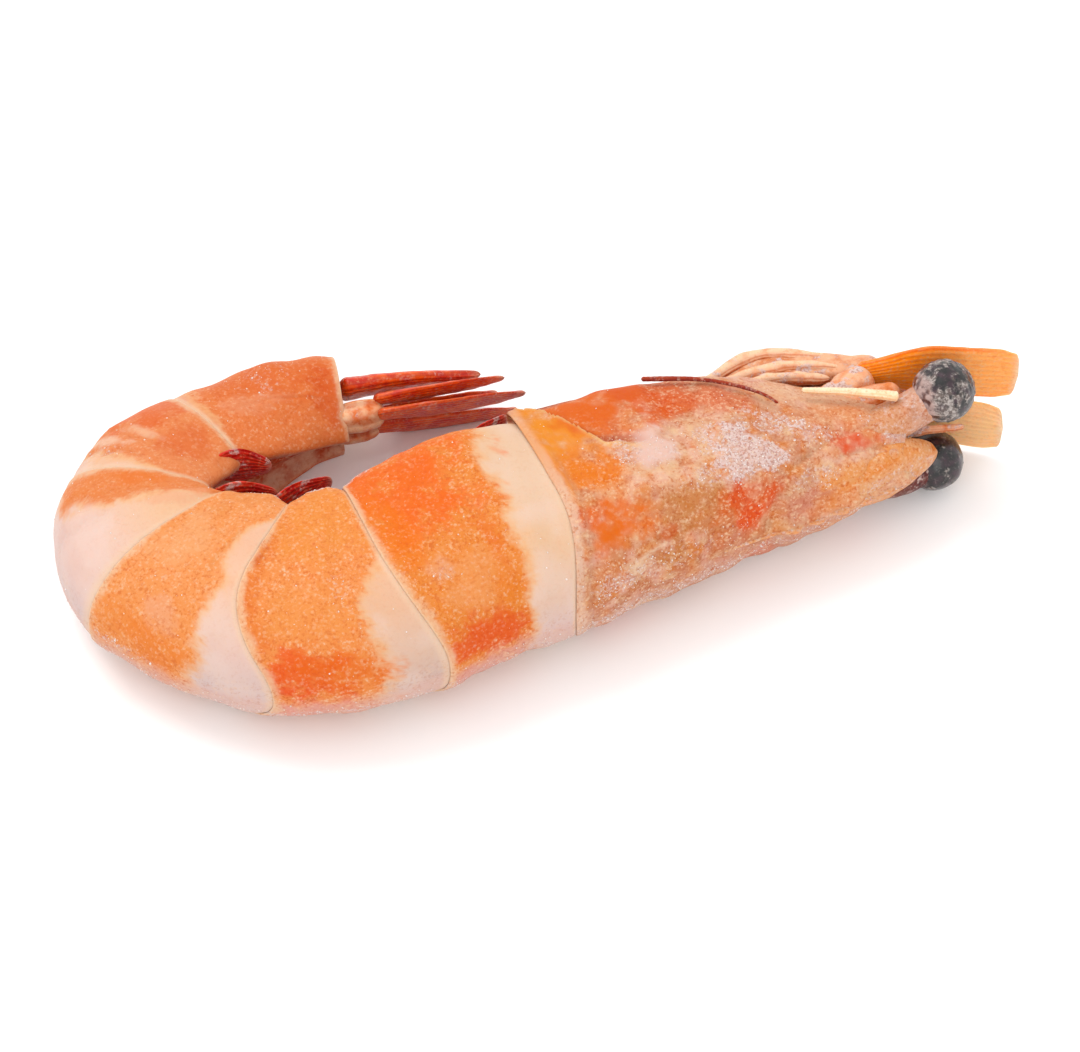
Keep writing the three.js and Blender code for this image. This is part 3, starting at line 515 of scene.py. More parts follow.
class Wire:
    """A socket of a node tree. Sums on wires add Math nodes, and node() adds any other kind of node."""

    def __init__(self, tree, socket=None):
        self.tree = tree
        self.socket = socket

    def node(self, kind, settings, inputs, out=0):
        made = self.tree.nodes.new(kind)
        for name, value in settings.items():
            setattr(made, name, value)
        for name, value in inputs.items():
            if isinstance(value, Wire):
                self.tree.links.new(value.socket, made.inputs[name])
            else:
                made.inputs[name].default_value = value
        return Wire(self.tree, made.outputs[out])

    def math(self, operation, *values):
        return self.node("ShaderNodeMath", {"operation": operation}, dict(enumerate(values)))

    def __add__(self, other):
        return self.math("ADD", self, other)

    def __radd__(self, other):
        return self.math("ADD", other, self)

    def __sub__(self, other):
        return self.math("SUBTRACT", self, other)

    def __rsub__(self, other):
        return self.math("SUBTRACT", other, self)

    def __mul__(self, other):
        return self.math("MULTIPLY", self, other)

    def __rmul__(self, other):
        return self.math("MULTIPLY", other, self)

    def step(self, low, high):
        """0 below low and 1 above high, or the other way round where high is under low."""
        settings = {"interpolation_type": "SMOOTHSTEP"}
        return self.node("ShaderNodeMapRange", settings, {0: self, 1: low, 2: high})

    def value(self, name):
        """An attribute of the piece's own mesh."""
        return self.node("ShaderNodeAttribute", {"attribute_name": name}, {}, "Fac")

    def tint(self):
        """The colour that the piece's own mesh carries."""
        return self.node("ShaderNodeAttribute", {"attribute_name": "tint"}, {}, "Color")

    def place(self):
        """The place on the piece, in millimetres."""
        coordinates = self.node("ShaderNodeTexCoord", {}, {}, "Object")
        inputs = {"Vector": coordinates, "Scale": 1 / MM}
        return self.node("ShaderNodeVectorMath", {"operation": "SCALE"}, inputs)

    def noise(self, place, size, detail=2.0, rough=0.5):
        """Cloudy noise from 0 to 1, with clouds of about this size."""
        inputs = {"Vector": place, "Scale": 1 / size, "Detail": detail, "Roughness": rough}
        return self.node("ShaderNodeTexNoise", {}, inputs, "Fac")

    def cells(self, place, size):
        """How far each place is from the middle of its cell, for specks and grains."""
        return self.node("ShaderNodeTexVoronoi", {}, {"Vector": place, "Scale": 1 / size}, "Distance")

    def cell_draws(self, place, size):
        """A random number from 0 to 1 for each cell."""
        draws = self.node("ShaderNodeTexVoronoi", {}, {"Vector": place, "Scale": 1 / size}, "Color")
        return self.node("ShaderNodeSeparateColor", {}, {0: draws}, 0)

    def blend(self, under, over, share, way="MIX"):
        """One colour over another."""
        settings = {"data_type": "RGBA", "blend_type": way}
        return self.node("ShaderNodeMix", settings, {0: share, 6: under, 7: over}, 2)

    def bump(self, height, distance):
        """The surface's direction over a height from 0 to 1 that stands for a distance in millimetres."""
        inputs = {"Height": height, "Distance": distance * MM, "Strength": 0.8}
        return self.node("ShaderNodeBump", {}, inputs)


def material(name, paint, **constants):
    """A material: paint takes a wire and gives what varies over the surface, and constants hold all over it."""
    made = bpy.data.materials.new(name)
    made.use_nodes = True
    shader = made.node_tree.nodes["Principled BSDF"]
    for socket, value in constants.items():
        shader.inputs[socket.replace("_", " ")].default_value = value
    for socket, wire in paint(Wire(made.node_tree)).items():
        made.node_tree.links.new(wire.socket, shader.inputs[socket])
    return made


FLESHY = {
    "Subsurface_Weight": 0.18,
    "Subsurface_Radius": (1.0, 0.45, 0.28),
    "Subsurface_Scale": 0.7 * MM,
    "Coat_Roughness": 0.25,
    "Specular_IOR_Level": 0.15,
}
# What the shell's fine grains multiply its colour by.
GRIT = {"warm": (1.0, 0.80, 0.60, 1.0), "deep": (0.80, 0.50, 0.32, 1.0)}
SUGAR = {"white": "#f5e0dc", "pink": "#e8c2b6", "gap": "#b98078"}  # frost, and what shows between its grains


def speckled(wire, place, base, pale, grit):
    """A colour with the fine pale and dark grains that all of the shell has, as strongly as grit says."""
    grains = wire.cells(place, 0.34)
    draws = wire.cell_draws(place, 0.4)
    warm = wire.noise(place, 0.62, 3.0, 0.65).step(0.5, 0.66)
    colour = wire.blend(base, GRIT["warm"], warm * grit * 0.55, "MULTIPLY")
    colour = wire.blend(colour, pale, wire.noise(place, 0.5, 3.0, 0.65).step(0.53, 0.70) * grit * 0.45)
    mottle = wire.noise(place, 0.25, 2.0, 0.6) * 0.9 + wire.noise(place, 0.8, 3.0, 0.6) * 0.5 - grains * 0.3
    colour = wire.blend(colour, pale, mottle.step(0.60, 0.82) * grit * 0.6)
    colour = wire.blend(colour, pale, (draws - grains * 0.5).step(0.62, 0.85) * grit * 0.4)
    dark = (draws + grains * 0.5).step(0.36, 0.16)
    colour = wire.blend(colour, GRIT["deep"], dark * grit * 0.55, "MULTIPLY")
    return wire.blend(colour, GRIT["deep"], mottle.step(0.50, 0.32) * grit * 0.85, "MULTIPLY")


def frosted(wire, place, colour, frost):
    """Colour, roughness and height of a surface with sugary grains of frost lying on it."""
    draws = wire.cell_draws(place, 0.22)
    grains = wire.cells(place, 0.22)
    cloud = wire.noise(place, 1.0, 4.0, 0.7)
    specks = wire.noise(place, 0.2, 2.0, 0.6)
    cover = (frost * 1.1 + (cloud - 0.5) * 0.8 + (draws - 0.5) * 0.6).step(0.26, 1.0)
    whiter = (draws * 0.5 + cloud * 0.8 + frost * 0.2).step(0.5, 1.05)
    sugar = wire.blend(shade(SUGAR["pink"]), shade(SUGAR["white"]), whiter)
    gaps = (specks + (cloud - 0.5) * 0.3).step(0.50, 0.64)
    sugar = wire.blend(sugar, shade(SUGAR["gap"]), gaps * 0.7)
    colour = wire.blend(colour, sugar, cover * 0.85)
    rough = 0.46 + 0.16 * wire.noise(place, 0.6) + cover * 0.2
    height = wire.noise(place, 0.5, 3.0, 0.62) * 0.6 + cover * (draws * 0.6 - grains * 0.7)
    return colour, rough, height


def cooked(wire, place, base, pale, grit, frost, raised=0.0, distance=0.07):
    """What varies over cooked shell or skin: this colour, with the shell's grains in it and frost on it."""
    colour = speckled(wire, place, base, shade(pale), grit)
    colour, rough, height = frosted(wire, place, colour, frost)
    return {"Base Color": colour, "Roughness": rough, "Normal": wire.bump(height + raised, distance)}


def shell_paint(wire):
    place = wire.place()
    painted = cooked(wire, place, wire.tint(), "#fcd3ae", wire.value("grit"), wire.value("frost"))
    return {**painted, "Coat Weight": wire.noise(place, 1.1, 2.0).step(0.45, 0.8) * 0.12}


shell_skin = material("cooked shell", shell_paint, **FLESHY)
shells = []
for number, look in enumerate(TAIL_LOOKS):
    plate = skin(f"tail_plate_{number + 1}", *tail_plate(number, look), shell_skin)
    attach(plate, "root")
    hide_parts(f"abdomen_{number + 1}")
    shells.append(plate)

# Head shell
# One thin shield over the head and the legs' roots, open at the front, with a low crest along its back. It is
# thinner than the tail's plates, so the orange and brown of what lies under it shows through in blots.
# The front edge: its place, how far the cheeks bulge, and how far it slopes back from which place down.
HEAD_FRONT = {"at": -30.5, "cheek": 2.0, "sweep": 6.5, "slopes_from": 0.66}
BROW = {"long": 1.0, "half_width": 0.3}  # the tongue of shell that runs on into the beak
FACE = {"middle": (32.8, 0.0, 0.9), "size": 0.2, "rings": 8, "bulge": 0.5}  # the closing between its cheeks
CREST = {"from": 14.0, "to": 20.0, "high": 0.55, "half_width": 0.9}
# The front edge in section: how far behind the edge, as the rear rim's section, and how far out.
FRONT_SECTION = [(0.5, -0.42), (0.1, -0.34), (-0.03, -0.2), (-0.04, -0.08), (0.0, 0.0)]
FRONT_LIP = {"free": 0.28, "over": 0.15}  # from how far down its side the front edge is thin and free
# Furrows and raised lines across the side of the head: places along the shell and down its side, how far they
# stand out, and half width.
HEAD_LINES = [
    {"path": [(0.50, 0.34), (0.46, 0.18), (0.415, 0.06)], "high": -0.16, "wide": 0.4},
    {"path": [(0.415, 0.06), (0.395, 0.18), (0.38, 0.31), (0.30, 0.42)], "high": -0.22, "wide": 0.45},
    {"path": [(0.30, 0.42), (0.22, 0.50), (0.12, 0.56), (0.03, 0.58)], "high": -0.2, "wide": 0.5},
    {"path": [(0.20, 0.36), (0.10, 0.37), (0.0, 0.36)], "high": -0.2, "wide": 0.45},
    {"path": [(0.20, 0.56), (0.34, 0.66), (0.50, 0.76), (0.66, 0.80)], "high": -0.16, "wide": 0.7},
    {"path": [(0.62, 0.60), (0.70, 0.56), (0.78, 0.62), (0.80, 0.70)], "high": -0.12, "wide": 0.5},
    {
        "path": [(0.735, 0.205), (0.775, 0.185), (0.815, 0.165), (0.83, 0.12), (0.80, 0.10)],
        "high": 0.09, "wide": 0.3, "hue": "#f4d4b8", "hue_wide": 0.24,
    },
    {"path": [(0.28, 0.10), (0.20, 0.16), (0.10, 0.18)], "high": -0.12, "wide": 0.35},
]
HEAD_LUMP = {"centre": (0.71, 0.67), "size": (0.06, 0.07), "high": 0.14}
# The hem along the rear rim and the furrow before it: how far before the rim, width and height.
HEM = [(0.5, 0.35, 0.05), (1.35, 0.25, -0.08)]
# The lower edge of the shell's thick upper lobe near the front, along and down it, and how much lower the thin
# cheek lies under it.
LOBE_EDGE = [(0.70, 0.70), (0.76, 0.715), (0.82, 0.735), (0.85, 0.78), (0.90, 0.885), (0.975, 0.965)]
LOBE_STEP = 0.42
# The beyond, furrow, lower edge and under-lip colours are painted shade; the lip colour is a pale rim, partly a
# painted highlight.
HEAD_HUES = {
    "ground": "#e9b18f", "clouds": "#dca283", "rear": "#f0b794", "beyond": "#dba68f", "cheek": "#ec7430",
    "hem": "#f2cfb8", "furrow": "#cf9a80", "shaded_lower_edge": "#a8431c", "lip": "#fbc98c", "shade_under_lip": "#9c3a14",
    "front_edge": "#c4876e",
}
# Blots of what shows through: colour, place along and down the shell, size and strength.
HEAD_BLOTS = [
    ("#cf8a64", (0.86, 0.10), (0.26, 0.24), 0.9),
    ("#cf865c", (0.60, 0.06), (0.24, 0.17), 0.9),
    ("#f0b184", (0.80, 0.56), (0.18, 0.10), 0.9),
    ("#efbf9c", (0.62, 0.56), (0.16, 0.16), 0.9),
]
# Cloudy spots all over the head: colour, size and seed.
HEAD_MOTTLE = [("#f6cfa4", 0.7, 51), ("#cf7a52", 0.8, 52), ("#f4c2b0", 1.1, 53), ("#e88a3e", 0.9, 54)]
# The stronger marks on top of those, as the blots are.
HEAD_MARKS = [
    ("#f59a40", (0.95, 0.80), (0.14, 0.20), 1.0),
    ("#f1862a", (0.91, 0.66), (0.09, 0.09), 0.95),
    ("#f4a25c", (0.99, 0.58), (0.05, 0.14), 0.7),
    ("#cf8244", (0.665, 0.33), (0.12, 0.13), 0.75),
    ("#d58c50", (0.72, 0.13), (0.06, 0.06), 0.6),
    ("#d98e62", (0.57, 0.23), (0.07, 0.10), 0.6),
    ("#d9876a", (0.52, 0.08), (0.09, 0.07), 0.7),
    ("#da8a74", (0.30, 0.12), (0.08, 0.10), 0.7),
    ("#e0905f", (0.91, 0.20), (0.06, 0.08), 0.8),
    ("#ef7a1c", (0.87, 0.375), (0.09, 0.13), 1.0),
    ("#ec7420", (0.945, 0.465), (0.05, 0.06), 0.9),
    ("#ee7f2e", (0.795, 0.315), (0.05, 0.08), 0.9),
    ("#dc6c42", (0.72, 0.256), (0.03, 0.04), 0.6),
    ("#eec6a8", (0.80, 0.145), (0.035, 0.045), 0.8),
    ("#ea7430", (0.74, 0.88), (0.18, 0.13), 1.0),
    ("#e46a34", (0.58, 0.86), (0.14, 0.11), 0.95),
    ("#e4805a", (0.42, 0.82), (0.12, 0.09), 0.8),
    ("#e27648", (0.20, 0.62), (0.07, 0.06), 0.45),
    ("#f2cabb", (0.705, 0.67), (0.062, 0.07), 1.0),
    ("#e4703c", (0.46, 0.25), (0.10, 0.15), 0.75),
    ("#e9642a", (0.50, 0.31), (0.035, 0.07), 0.85),
    ("#e9642a", (0.405, 0.26), (0.028, 0.06), 0.85),
    ("#ee6420", (0.455, 0.17), (0.055, 0.11), 0.9),
    ("#e88e66", (0.13, 0.50), (0.11, 0.13), 0.6),
    ("#ea5e20", (0.15, 0.45), (0.07, 0.10), 1.0),
    ("#f6a664", (0.10, 0.22), (0.17, 0.11), 0.85),
    ("#f2985a", (0.20, 0.06), (0.12, 0.08), 0.6),
    ("#dfae9e", (0.0, 0.46), (0.07, 0.10), 0.8),
    ("#efa274", (0.14, 0.68), (0.16, 0.09), 0.75),
    ("#f0bf9c", (0.12, 0.80), (0.18, 0.06), 0.7),
]
# Patches of frost: place, size and depth.
HEAD_FROST = [
    ((0.465, 0.50), (0.09, 0.14), 0.95),
    ((0.40, 0.44), (0.05, 0.07), 0.8),
    ((0.53, 0.66), (0.09, 0.07), 0.55),
    ((0.40, 0.68), (0.10, 0.07), 0.6),
    ((0.28, 0.56), (0.08, 0.10), 0.4),
    ((0.27, 0.26), (0.08, 0.08), 0.4),
    ((0.03, 0.45), (0.06, 0.09), 0.45),
    ((0.07, 0.62), (0.08, 0.06), 0.5),
    ((0.60, 0.47), (0.08, 0.07), 0.42),
    ((0.71, 0.66), (0.07, 0.08), 0.3),
    ((0.79, 0.69), (0.03, 0.05), 0.45),
    ((0.88, 0.14), (0.14, 0.12), 0.22),
    ((0.70, 0.10), (0.24, 0.09), 0.22),
]


def head_front(down):
    """Where the front edge lies: a tongue into the beak, cheeks beside the eye stalks, a slope back below."""
    tongue = BROW["long"] * np.clip(1 - down / BROW["half_width"], 0, 1) ** 1.5
    bulge = HEAD_FRONT["cheek"] * np.sin(math.pi * np.minimum(1, down / (2 * HEAD_FRONT["slopes_from"]))) ** 2
    slope = smooth((down - HEAD_FRONT["slopes_from"]) / (1 - HEAD_FRONT["slopes_from"]))
    return HEAD_FRONT["at"] - tongue - bulge + HEAD_FRONT["sweep"] * slope


def head_tint(points, along, down, side, length, under):
    """The colour of each point of the head shell, how gritty it looks and how much frost lies on it."""
    uneven = ragged(points, 1.6, 40)
    tint = washed(HEAD_HUES["ground"], along.shape)
    tint = brushed(tint, HEAD_HUES["clouds"], smooth(0.5 + grain(points, 2.4, 43)))
    tint = brushed(tint, HEAD_HUES["rear"], smooth((0.34 - along) / 0.2) * 0.8)
    for code, centre, size, share in HEAD_BLOTS:
        tint = brushed(tint, code, blot(along, down, centre, size, 0.75 * uneven) * share)
    for code, size, seed in HEAD_MOTTLE:
        tint = brushed(tint, code, smooth(1.5 * grain(points, size, seed)) * 0.55)
    plain = 0
    for code, centre, size, share in HEAD_MARKS:
        covered = blot(along, down, centre, size, 0.75 * uneven) * share
        tint = brushed(tint, code, covered)
        plain = np.maximum(plain, covered * (share == 1.0))
    # painted shade: a duller colour on the shell just beyond the ridge, on the side that turns down to the
    # table
    beyond = smooth((0.05 - side * down) / 0.14) * smooth((0.4 - down) / 0.1)
    tint = brushed(tint, HEAD_HUES["beyond"], beyond * 0.6)
    tint = brushed(tint, HEAD_HUES["cheek"], under * 0.5)
    behind = (1 - along) * length
    low = smooth((0.8 - down) / 0.2)
    # painted shade: a darker line in the furrow before the hem
    tint = brushed(tint, HEAD_HUES["furrow"], bell(behind - 1.3 - 0.15 * uneven, 0.3) * 0.4 * low)
    tint = brushed(tint, HEAD_HUES["hem"], smooth((1.0 + 0.3 * uneven - behind) / 0.6) * (0.35 + 0.35 * low))
    # painted shade: dark brown along the shell's lower edge, over all but its front
    shaded_lower_edge = smooth((down - 0.93) / 0.05) * smooth((along - 0.3) / 0.2)
    tint = brushed(tint, HEAD_HUES["shaded_lower_edge"], shaded_lower_edge * 0.75)
    frost = sum(depth * blot(along, down, centre, size, 0.55 * uneven) for centre, size, depth in HEAD_FROST)
    frost = frost * np.where(side > 0, 1, 0.5) + 0.42 * bell(side * down + 0.12, 0.08)
    grit = np.clip(0.92 + 0.2 * grain(points, 2.0, 44) - 0.85 * plain, 0, 1)
    return flesh_tint(tint, points, down), grit, np.clip(frost, 0, 1) * (down <= 1)


def head_shell():
    """The points of the head shell, and what each of them looks like."""
    length = -HEAD_FRONT["at"]
    t = np.concatenate([
        [past / length for past, _ in FRONT_SECTION],
        np.linspace(0.004, 1, int(length / POINT_STEP)),
        [1 + past / length for past, _ in RIM_SECTION],
    ])
    step = SHELL_FLARE * smooth((t - 0.85) / 0.15)
    step[: len(FRONT_SECTION)] = [out for _, out in FRONT_SECTION]
    step[-len(RIM_SECTION):] = [out for _, out in RIM_SECTION]
    down, side = around_body()
    t, step = t[:, None], step[:, None]
    free = smooth((down - FRONT_LIP["free"]) / FRONT_LIP["over"])
    lipped = np.where(t <= FRONT_SECTION[0][0] / length, free, 1.0)
    lipped[len(FRONT_SECTION):] = 1
    step = step * lipped
    at = mix(head_front(np.minimum(down, 1)), rim_place(0.0, HEAD_RIM, down), t * lipped)
    down = np.broadcast_to(down, at.shape)
    along = np.broadcast_to(t, at.shape)
    up, out = outline(at, down, 1.0, step)
    rough = body_points(at, side * out, up)
    edge = np.interp(t[:, 0], *np.array(LOBE_EDGE).T, right=1.02)[:, None]
    edge = edge + 0.006 * grain(rough, 0.9, 45)
    faded = smooth((along - 0.68) / 0.12)
    beyond = (down - edge) * SIDE_GIRTH
    under = smooth(beyond / 0.3 + 0.5) * faded
    tint, grit, frost = head_tint(rough, along, down, side, length, under)
    # the lobe's rim is painted pale, partly as a painted highlight, and the cheek just under its edge is
    # painted dark as shade
    lip = bell(beyond + 0.25, 0.2) * faded
    tint = brushed(tint, HEAD_HUES["lip"], lip * 0.85)
    tint = brushed(tint, HEAD_HUES["shade_under_lip"], bell(beyond - 0.3, 0.25) * faded * 0.5)
    bumps = relief(rough, frost, grit)
    for line in HEAD_LINES:
        bumps = bumps + line["high"] * near_line(along, down, line["path"], line["wide"], length)
        if "hue" in line:
            drawn = near_line(along, down, line["path"], line["hue_wide"], length)
            tint = brushed(tint, line["hue"], 0.7 * drawn)
    lump = HEAD_LUMP["high"] * blot(along, down, HEAD_LUMP["centre"], HEAD_LUMP["size"])
    bumps = bumps + lump + 0.1 * lip - LOBE_STEP * under
    for before, wide, high in HEM:
        bumps = bumps + high * bell((1 - along) * length - before, wide)
    up, out = outline(at, down, 1.0, step + bumps * (down <= 1))
    crest = CREST["high"] * smooth((-at - CREST["from"]) / (CREST["to"] - CREST["from"]))
    up = up + crest * bell(out, CREST["half_width"]) * (down < 0.5)
    points = body_points(at, side * out, up)
    tint = brushed(tint, HEAD_HUES["front_edge"], smooth(-step / 0.3) * (along < 0.1))
    values = {"along": along, "down": down, "tint": tint, "grit": grit, "frost": frost}
    rows = []
    for share in np.linspace(1, 0, FACE["rings"], endpoint=False):
        row = mix(points[0], np.array(FACE["middle"]), share * (1 - FACE["size"]))
        row[:, 0] += FACE["bulge"] * math.sin(math.pi * share)
        rows.append(row)
    grown = {}
    for key, value in values.items():
        grown[key] = np.concatenate([np.repeat(value[:1], len(rows), 0), value])
    return np.concatenate([np.stack(rows), points]), grown


head = skin("head_shell", *head_shell(), shell_skin)
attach(head, "root")
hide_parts("carapace")
shells.append(head)

# Beak
# The front of the crest runs on between the eyes as a thin, stiff blade with low teeth along its top. It grows
# out of the head shell and is made of the same shell, a little thicker and deeper orange.
BEAK = {
    "from": 14.0, "brow": 27.5, "tip": 35.0, "tip_z": 1.3, "tip_deep": 1.6,
    "slope": 1.6, "thick": 1.5, "edge": 0.5, "rows": 210, "sides": 96,
}
BEAK_UNDER = {"at": [18.0, 25.5, 29.5, 34.6, 35.0], "z": [3.0, 0.4, 0.5, 1.3, 1.6]}  # its lower edge
BEAK_TEETH = {"count": 6, "from": 19.0, "pitch": 2.3, "high": 0.55, "peak": 0.72}
# The eaves and under colours are painted shade beneath the hood.
BEAK_HUES = {
    "ground": "#f3a263", "streaks": "#f08e44", "clouds": "#f3bd90",
    "eaves": "#b4643c", "under": "#6d4440", "ridge": "#f0b486",
}
# The hood over the eyes' roots, whose roof runs flush out of the head shell down to the blade's tip: half
# widths and heights of its eaves at places along it.
HOOD = {
    "at": [24.0, 28.0, 30.0, 31.0, 32.0, 33.0, 34.0, 35.0],
    "out": [0.6, 3.2, 3.42, 3.2, 2.75, 2.15, 1.45, 0.75],
    "eaves": [2.6, 2.3, 2.15, 2.1, 2.0, 1.9, 1.75, 1.6],
}


def beak_top(x):
    """How high the ridge lies, without its teeth."""
    crest = 0.5 * smooth((x - BEAK["from"]) / 6)
    shell = girth(-np.minimum(x, BEAK["brow"]), "back") + crest
    run = np.maximum(0, (x - BEAK["brow"] + 2) / (BEAK["tip"] - BEAK["brow"] + 2))
    return mix(shell, BEAK["tip_z"] + BEAK["tip_deep"], run ** BEAK["slope"])


def ring(sides):
    return np.linspace(0, 2 * math.pi, sides, endpoint=False)


def beak():
    """The points of the beak and its hood, and what each of them looks like."""
    x = np.linspace(BEAK["from"], BEAK["tip"], BEAK["rows"])
    tooth = (x - BEAK_TEETH["from"]) / BEAK_TEETH["pitch"]
    share, peak = tooth % 1, BEAK_TEETH["peak"]
    saw = np.where(share < peak, share / peak, (1 - share) / (1 - peak))
    toothed = (tooth > 0) & (tooth < BEAK_TEETH["count"])
    ridge = beak_top(x)
    top = ridge + BEAK_TEETH["high"] * smooth(saw) ** 0.8 * toothed
    begin = BEAK["from"]
    bottom = np.interp(x, [begin, *BEAK_UNDER["at"]], [beak_top(begin) - 1, *BEAK_UNDER["z"]])
    close = np.sqrt(np.clip(1 - (1 - np.minimum((BEAK["tip"] - x) / 1.6, 1)) ** 2, 0.02, 1))[:, None]
    around = ring(BEAK["sides"])
    height = np.sin(around)
    z = ((top + bottom) / 2)[:, None] + ((top - bottom) / 2)[:, None] * close * height
    width = mix(BEAK["thick"] / 2, BEAK["edge"] / 2, smooth((height + 0.2) / 1.2))[None] * close
    width = width * np.abs(np.cos(around)) ** 0.7 * (1 + 0.25 * bell(height, 0.22))
    out, eaves = (np.interp(x, HOOD["at"], HOOD[measure])[:, None] for measure in ("out", "eaves"))
    ridge = ridge[:, None]
    roof = out * np.sqrt(np.clip(1 - np.clip((z - eaves) / (ridge - eaves), 0, 1) ** 2, 0, 1))
    roof = roof * smooth((z - eaves) / 0.35 + 1) * close
    y = np.maximum(width, roof) * np.sign(np.cos(around))
    points = np.stack([np.broadcast_to(x[:, None], y.shape), y, z], -1)
    points[..., 1:] += 0.06 * grain(points, 0.7, 5)[..., None] * np.stack([np.sign(y), np.ones(y.shape)], -1)
    along = np.broadcast_to(np.linspace(0, 1, len(x))[:, None], y.shape)
    down = np.broadcast_to(height * 0.5 + 0.5, y.shape)
    streaks = smooth(ragged(points * (0.35, 1, 1), 0.8, 51))
    tint = brushed(washed(BEAK_HUES["ground"], y.shape), BEAK_HUES["streaks"], streaks)
    tint = brushed(tint, BEAK_HUES["clouds"], smooth(0.2 + ragged(points, 1.2, 50)) * 0.5)
    # painted shade: a dark band just under the hood's eaves, and a darker purple-brown further below them
    tint = brushed(tint, BEAK_HUES["eaves"], bell(z - eaves + 0.15, 0.14) * 0.8)
    tint = brushed(tint, BEAK_HUES["under"], smooth((eaves - 0.35 - z) / 0.4) * 0.7)
    tint = brushed(tint, BEAK_HUES["ridge"], smooth((z - ridge + 0.7) / 0.5) * 0.7)
    frost = smooth((z - ridge + 0.5) / 0.4) * 0.4
    return points, {"along": along, "down": down, "tint": tint, "grit": np.full(y.shape, 0.9), "frost": frost}


blade = skin("beak", *beak(), shell_skin)
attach(blade, "root")

# Eyes
# Two beads of black, many-faceted eye. Each sits in the cup of a short stalk, and frost lies over it in specks
# and smears, so that it looks mottled grey where the frost is thick.
EYE = {"radius": 2.7, "across": 0.97, "high": 1.02, "rings": 90, "sides": 120}
EYE_FROST = {"left": 0.68, "right": -0.1}  # how thick it lies
EYE_BARE = {"towards": (-0.08, 0.96, 0.22), "wide": 0.42, "bare": 0.95}  # where the frost has rubbed off
EYE_HUES = {
    "black": "#251c1f", "dull": "#54424a",
    "frost": ("#8a7c76", "#ddd2cb"), "rime": ("#6b4d4a", "#d3b5ae"),
}
SIDES = {"left": 1, "right": -1}


def eye_points(side, sign):
    """The points of an eye, from its front to its stalk, and how thick the frost is on them."""
    polar = np.linspace(0.02, math.pi - 0.02, EYE["rings"])[:, None]
    around = ring(EYE["sides"])[None]
    ball = np.stack([
        np.cos(polar) * np.ones_like(around),
        np.sin(polar) * np.cos(around) * EYE["across"],
        np.sin(polar) * np.sin(around) * EYE["high"],
    ], -1)
    x, y, z = EYES[side]
    centre = np.array([x, sign * y, z])
    rough = ball * EYE["radius"] + centre
    away = np.linalg.norm(ball - np.array(EYE_BARE["towards"]) * (1, sign, 1), axis=-1)
    bare = EYE_BARE["bare"] * bell(away, EYE_BARE["wide"])
    cover = 0.5 + 1.4 * (EYE_FROST[side] - 0.5) - bare
    cover = smooth(cover + 0.8 * grain(rough, 0.8, 7) + 0.9 * grain(rough, 0.33, 8))
    radius = EYE["radius"] - 0.06 + 0.05 * grain(rough, 1.1, 9)
    radius = radius + cover * (0.03 + 0.07 * np.abs(grain(rough, 0.3, 10)))
    along = np.broadcast_to(polar / math.pi, cover.shape)
    return centre + ball * radius[..., None], {"along": along, "frost": cover}


def eye_paint(wire):
    place = wire.place()
    cover = wire.value("frost")
    dapple = wire.noise(place, 0.7, 5.0, 0.8)
    fine = wire.cell_draws(place, 0.16)
    clouds = wire.noise(place, 0.8).step(0.4, 0.75)
    colour = wire.blend(shade(EYE_HUES["black"]), shade(EYE_HUES["dull"]), clouds)
    thick = (wire.noise(place, 0.34, 3.0, 0.7) + fine * 0.25).step(0.5, 0.82)
    frost = wire.blend(*map(shade, EYE_HUES["frost"]), thick)
    colour = wire.blend(colour, frost, (cover * 0.5 + dapple + fine * 0.18).step(0.58, 1.25) * 0.85)
    joint = (wire.value("along") + (dapple - 0.5) * 0.3).step(0.64, 0.78)
    rime = wire.blend(*map(shade, EYE_HUES["rime"]), (dapple + cover * 0.3).step(0.42, 0.85))
    colour = wire.blend(colour, rime, joint * 0.85)
    facets = wire.cells(place, 0.11)
    return {
        "Base Color": colour,
        "Roughness": 0.28 + 0.35 * cover,
        "Coat Weight": 0.35 - 0.3 * cover,
        "Normal": wire.bump(facets * 0.4 + dapple * cover * 1.6, 0.035),
    }


eye_skin = material("frosted eye", eye_paint, Coat_Roughness=0.12, Specular_IOR_Level=0.4)
for side, sign in SIDES.items():
    eye = skin(f"eye_bead_{side}", *eye_points(side, sign), eye_skin)
    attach(eye, "root")
    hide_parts(f"eye_{side}")

# Eye stalks
# Short, fleshy stalks under the brow, each widening into a cup that holds the eye. Their skin is soft and wet,
# pinkish brown with a pale rim where it meets the eye, and frost has whitened it.
# Where a stalk begins, how far past the eye's middle it ends, its thickness there, and that of its cup.
STALK = {"from": (27.6, 2.35, 0.7), "into": (-0.5, -0.3, 0.0), "thick": (3.9, 3.1), "cup": 3.4}
STALK_BOW = {"left": (-3.4, -1.2, 0.3), "right": (-3.4, -0.6, 1.1)}  # from the eye's middle
# Each stalk's root, light and deep colours, and how thick its frost lies. The right stalk's dark purple-brown
# is painted shade.
STALK_HUES = {"left": ("#e6a67c", "#e6b094", "#d59a7c", 0.35), "right": ("#8e5c52", "#7a4a48", "#53353a", 0.1)}
ACROSS = (0.0, 1.0, 0.0)


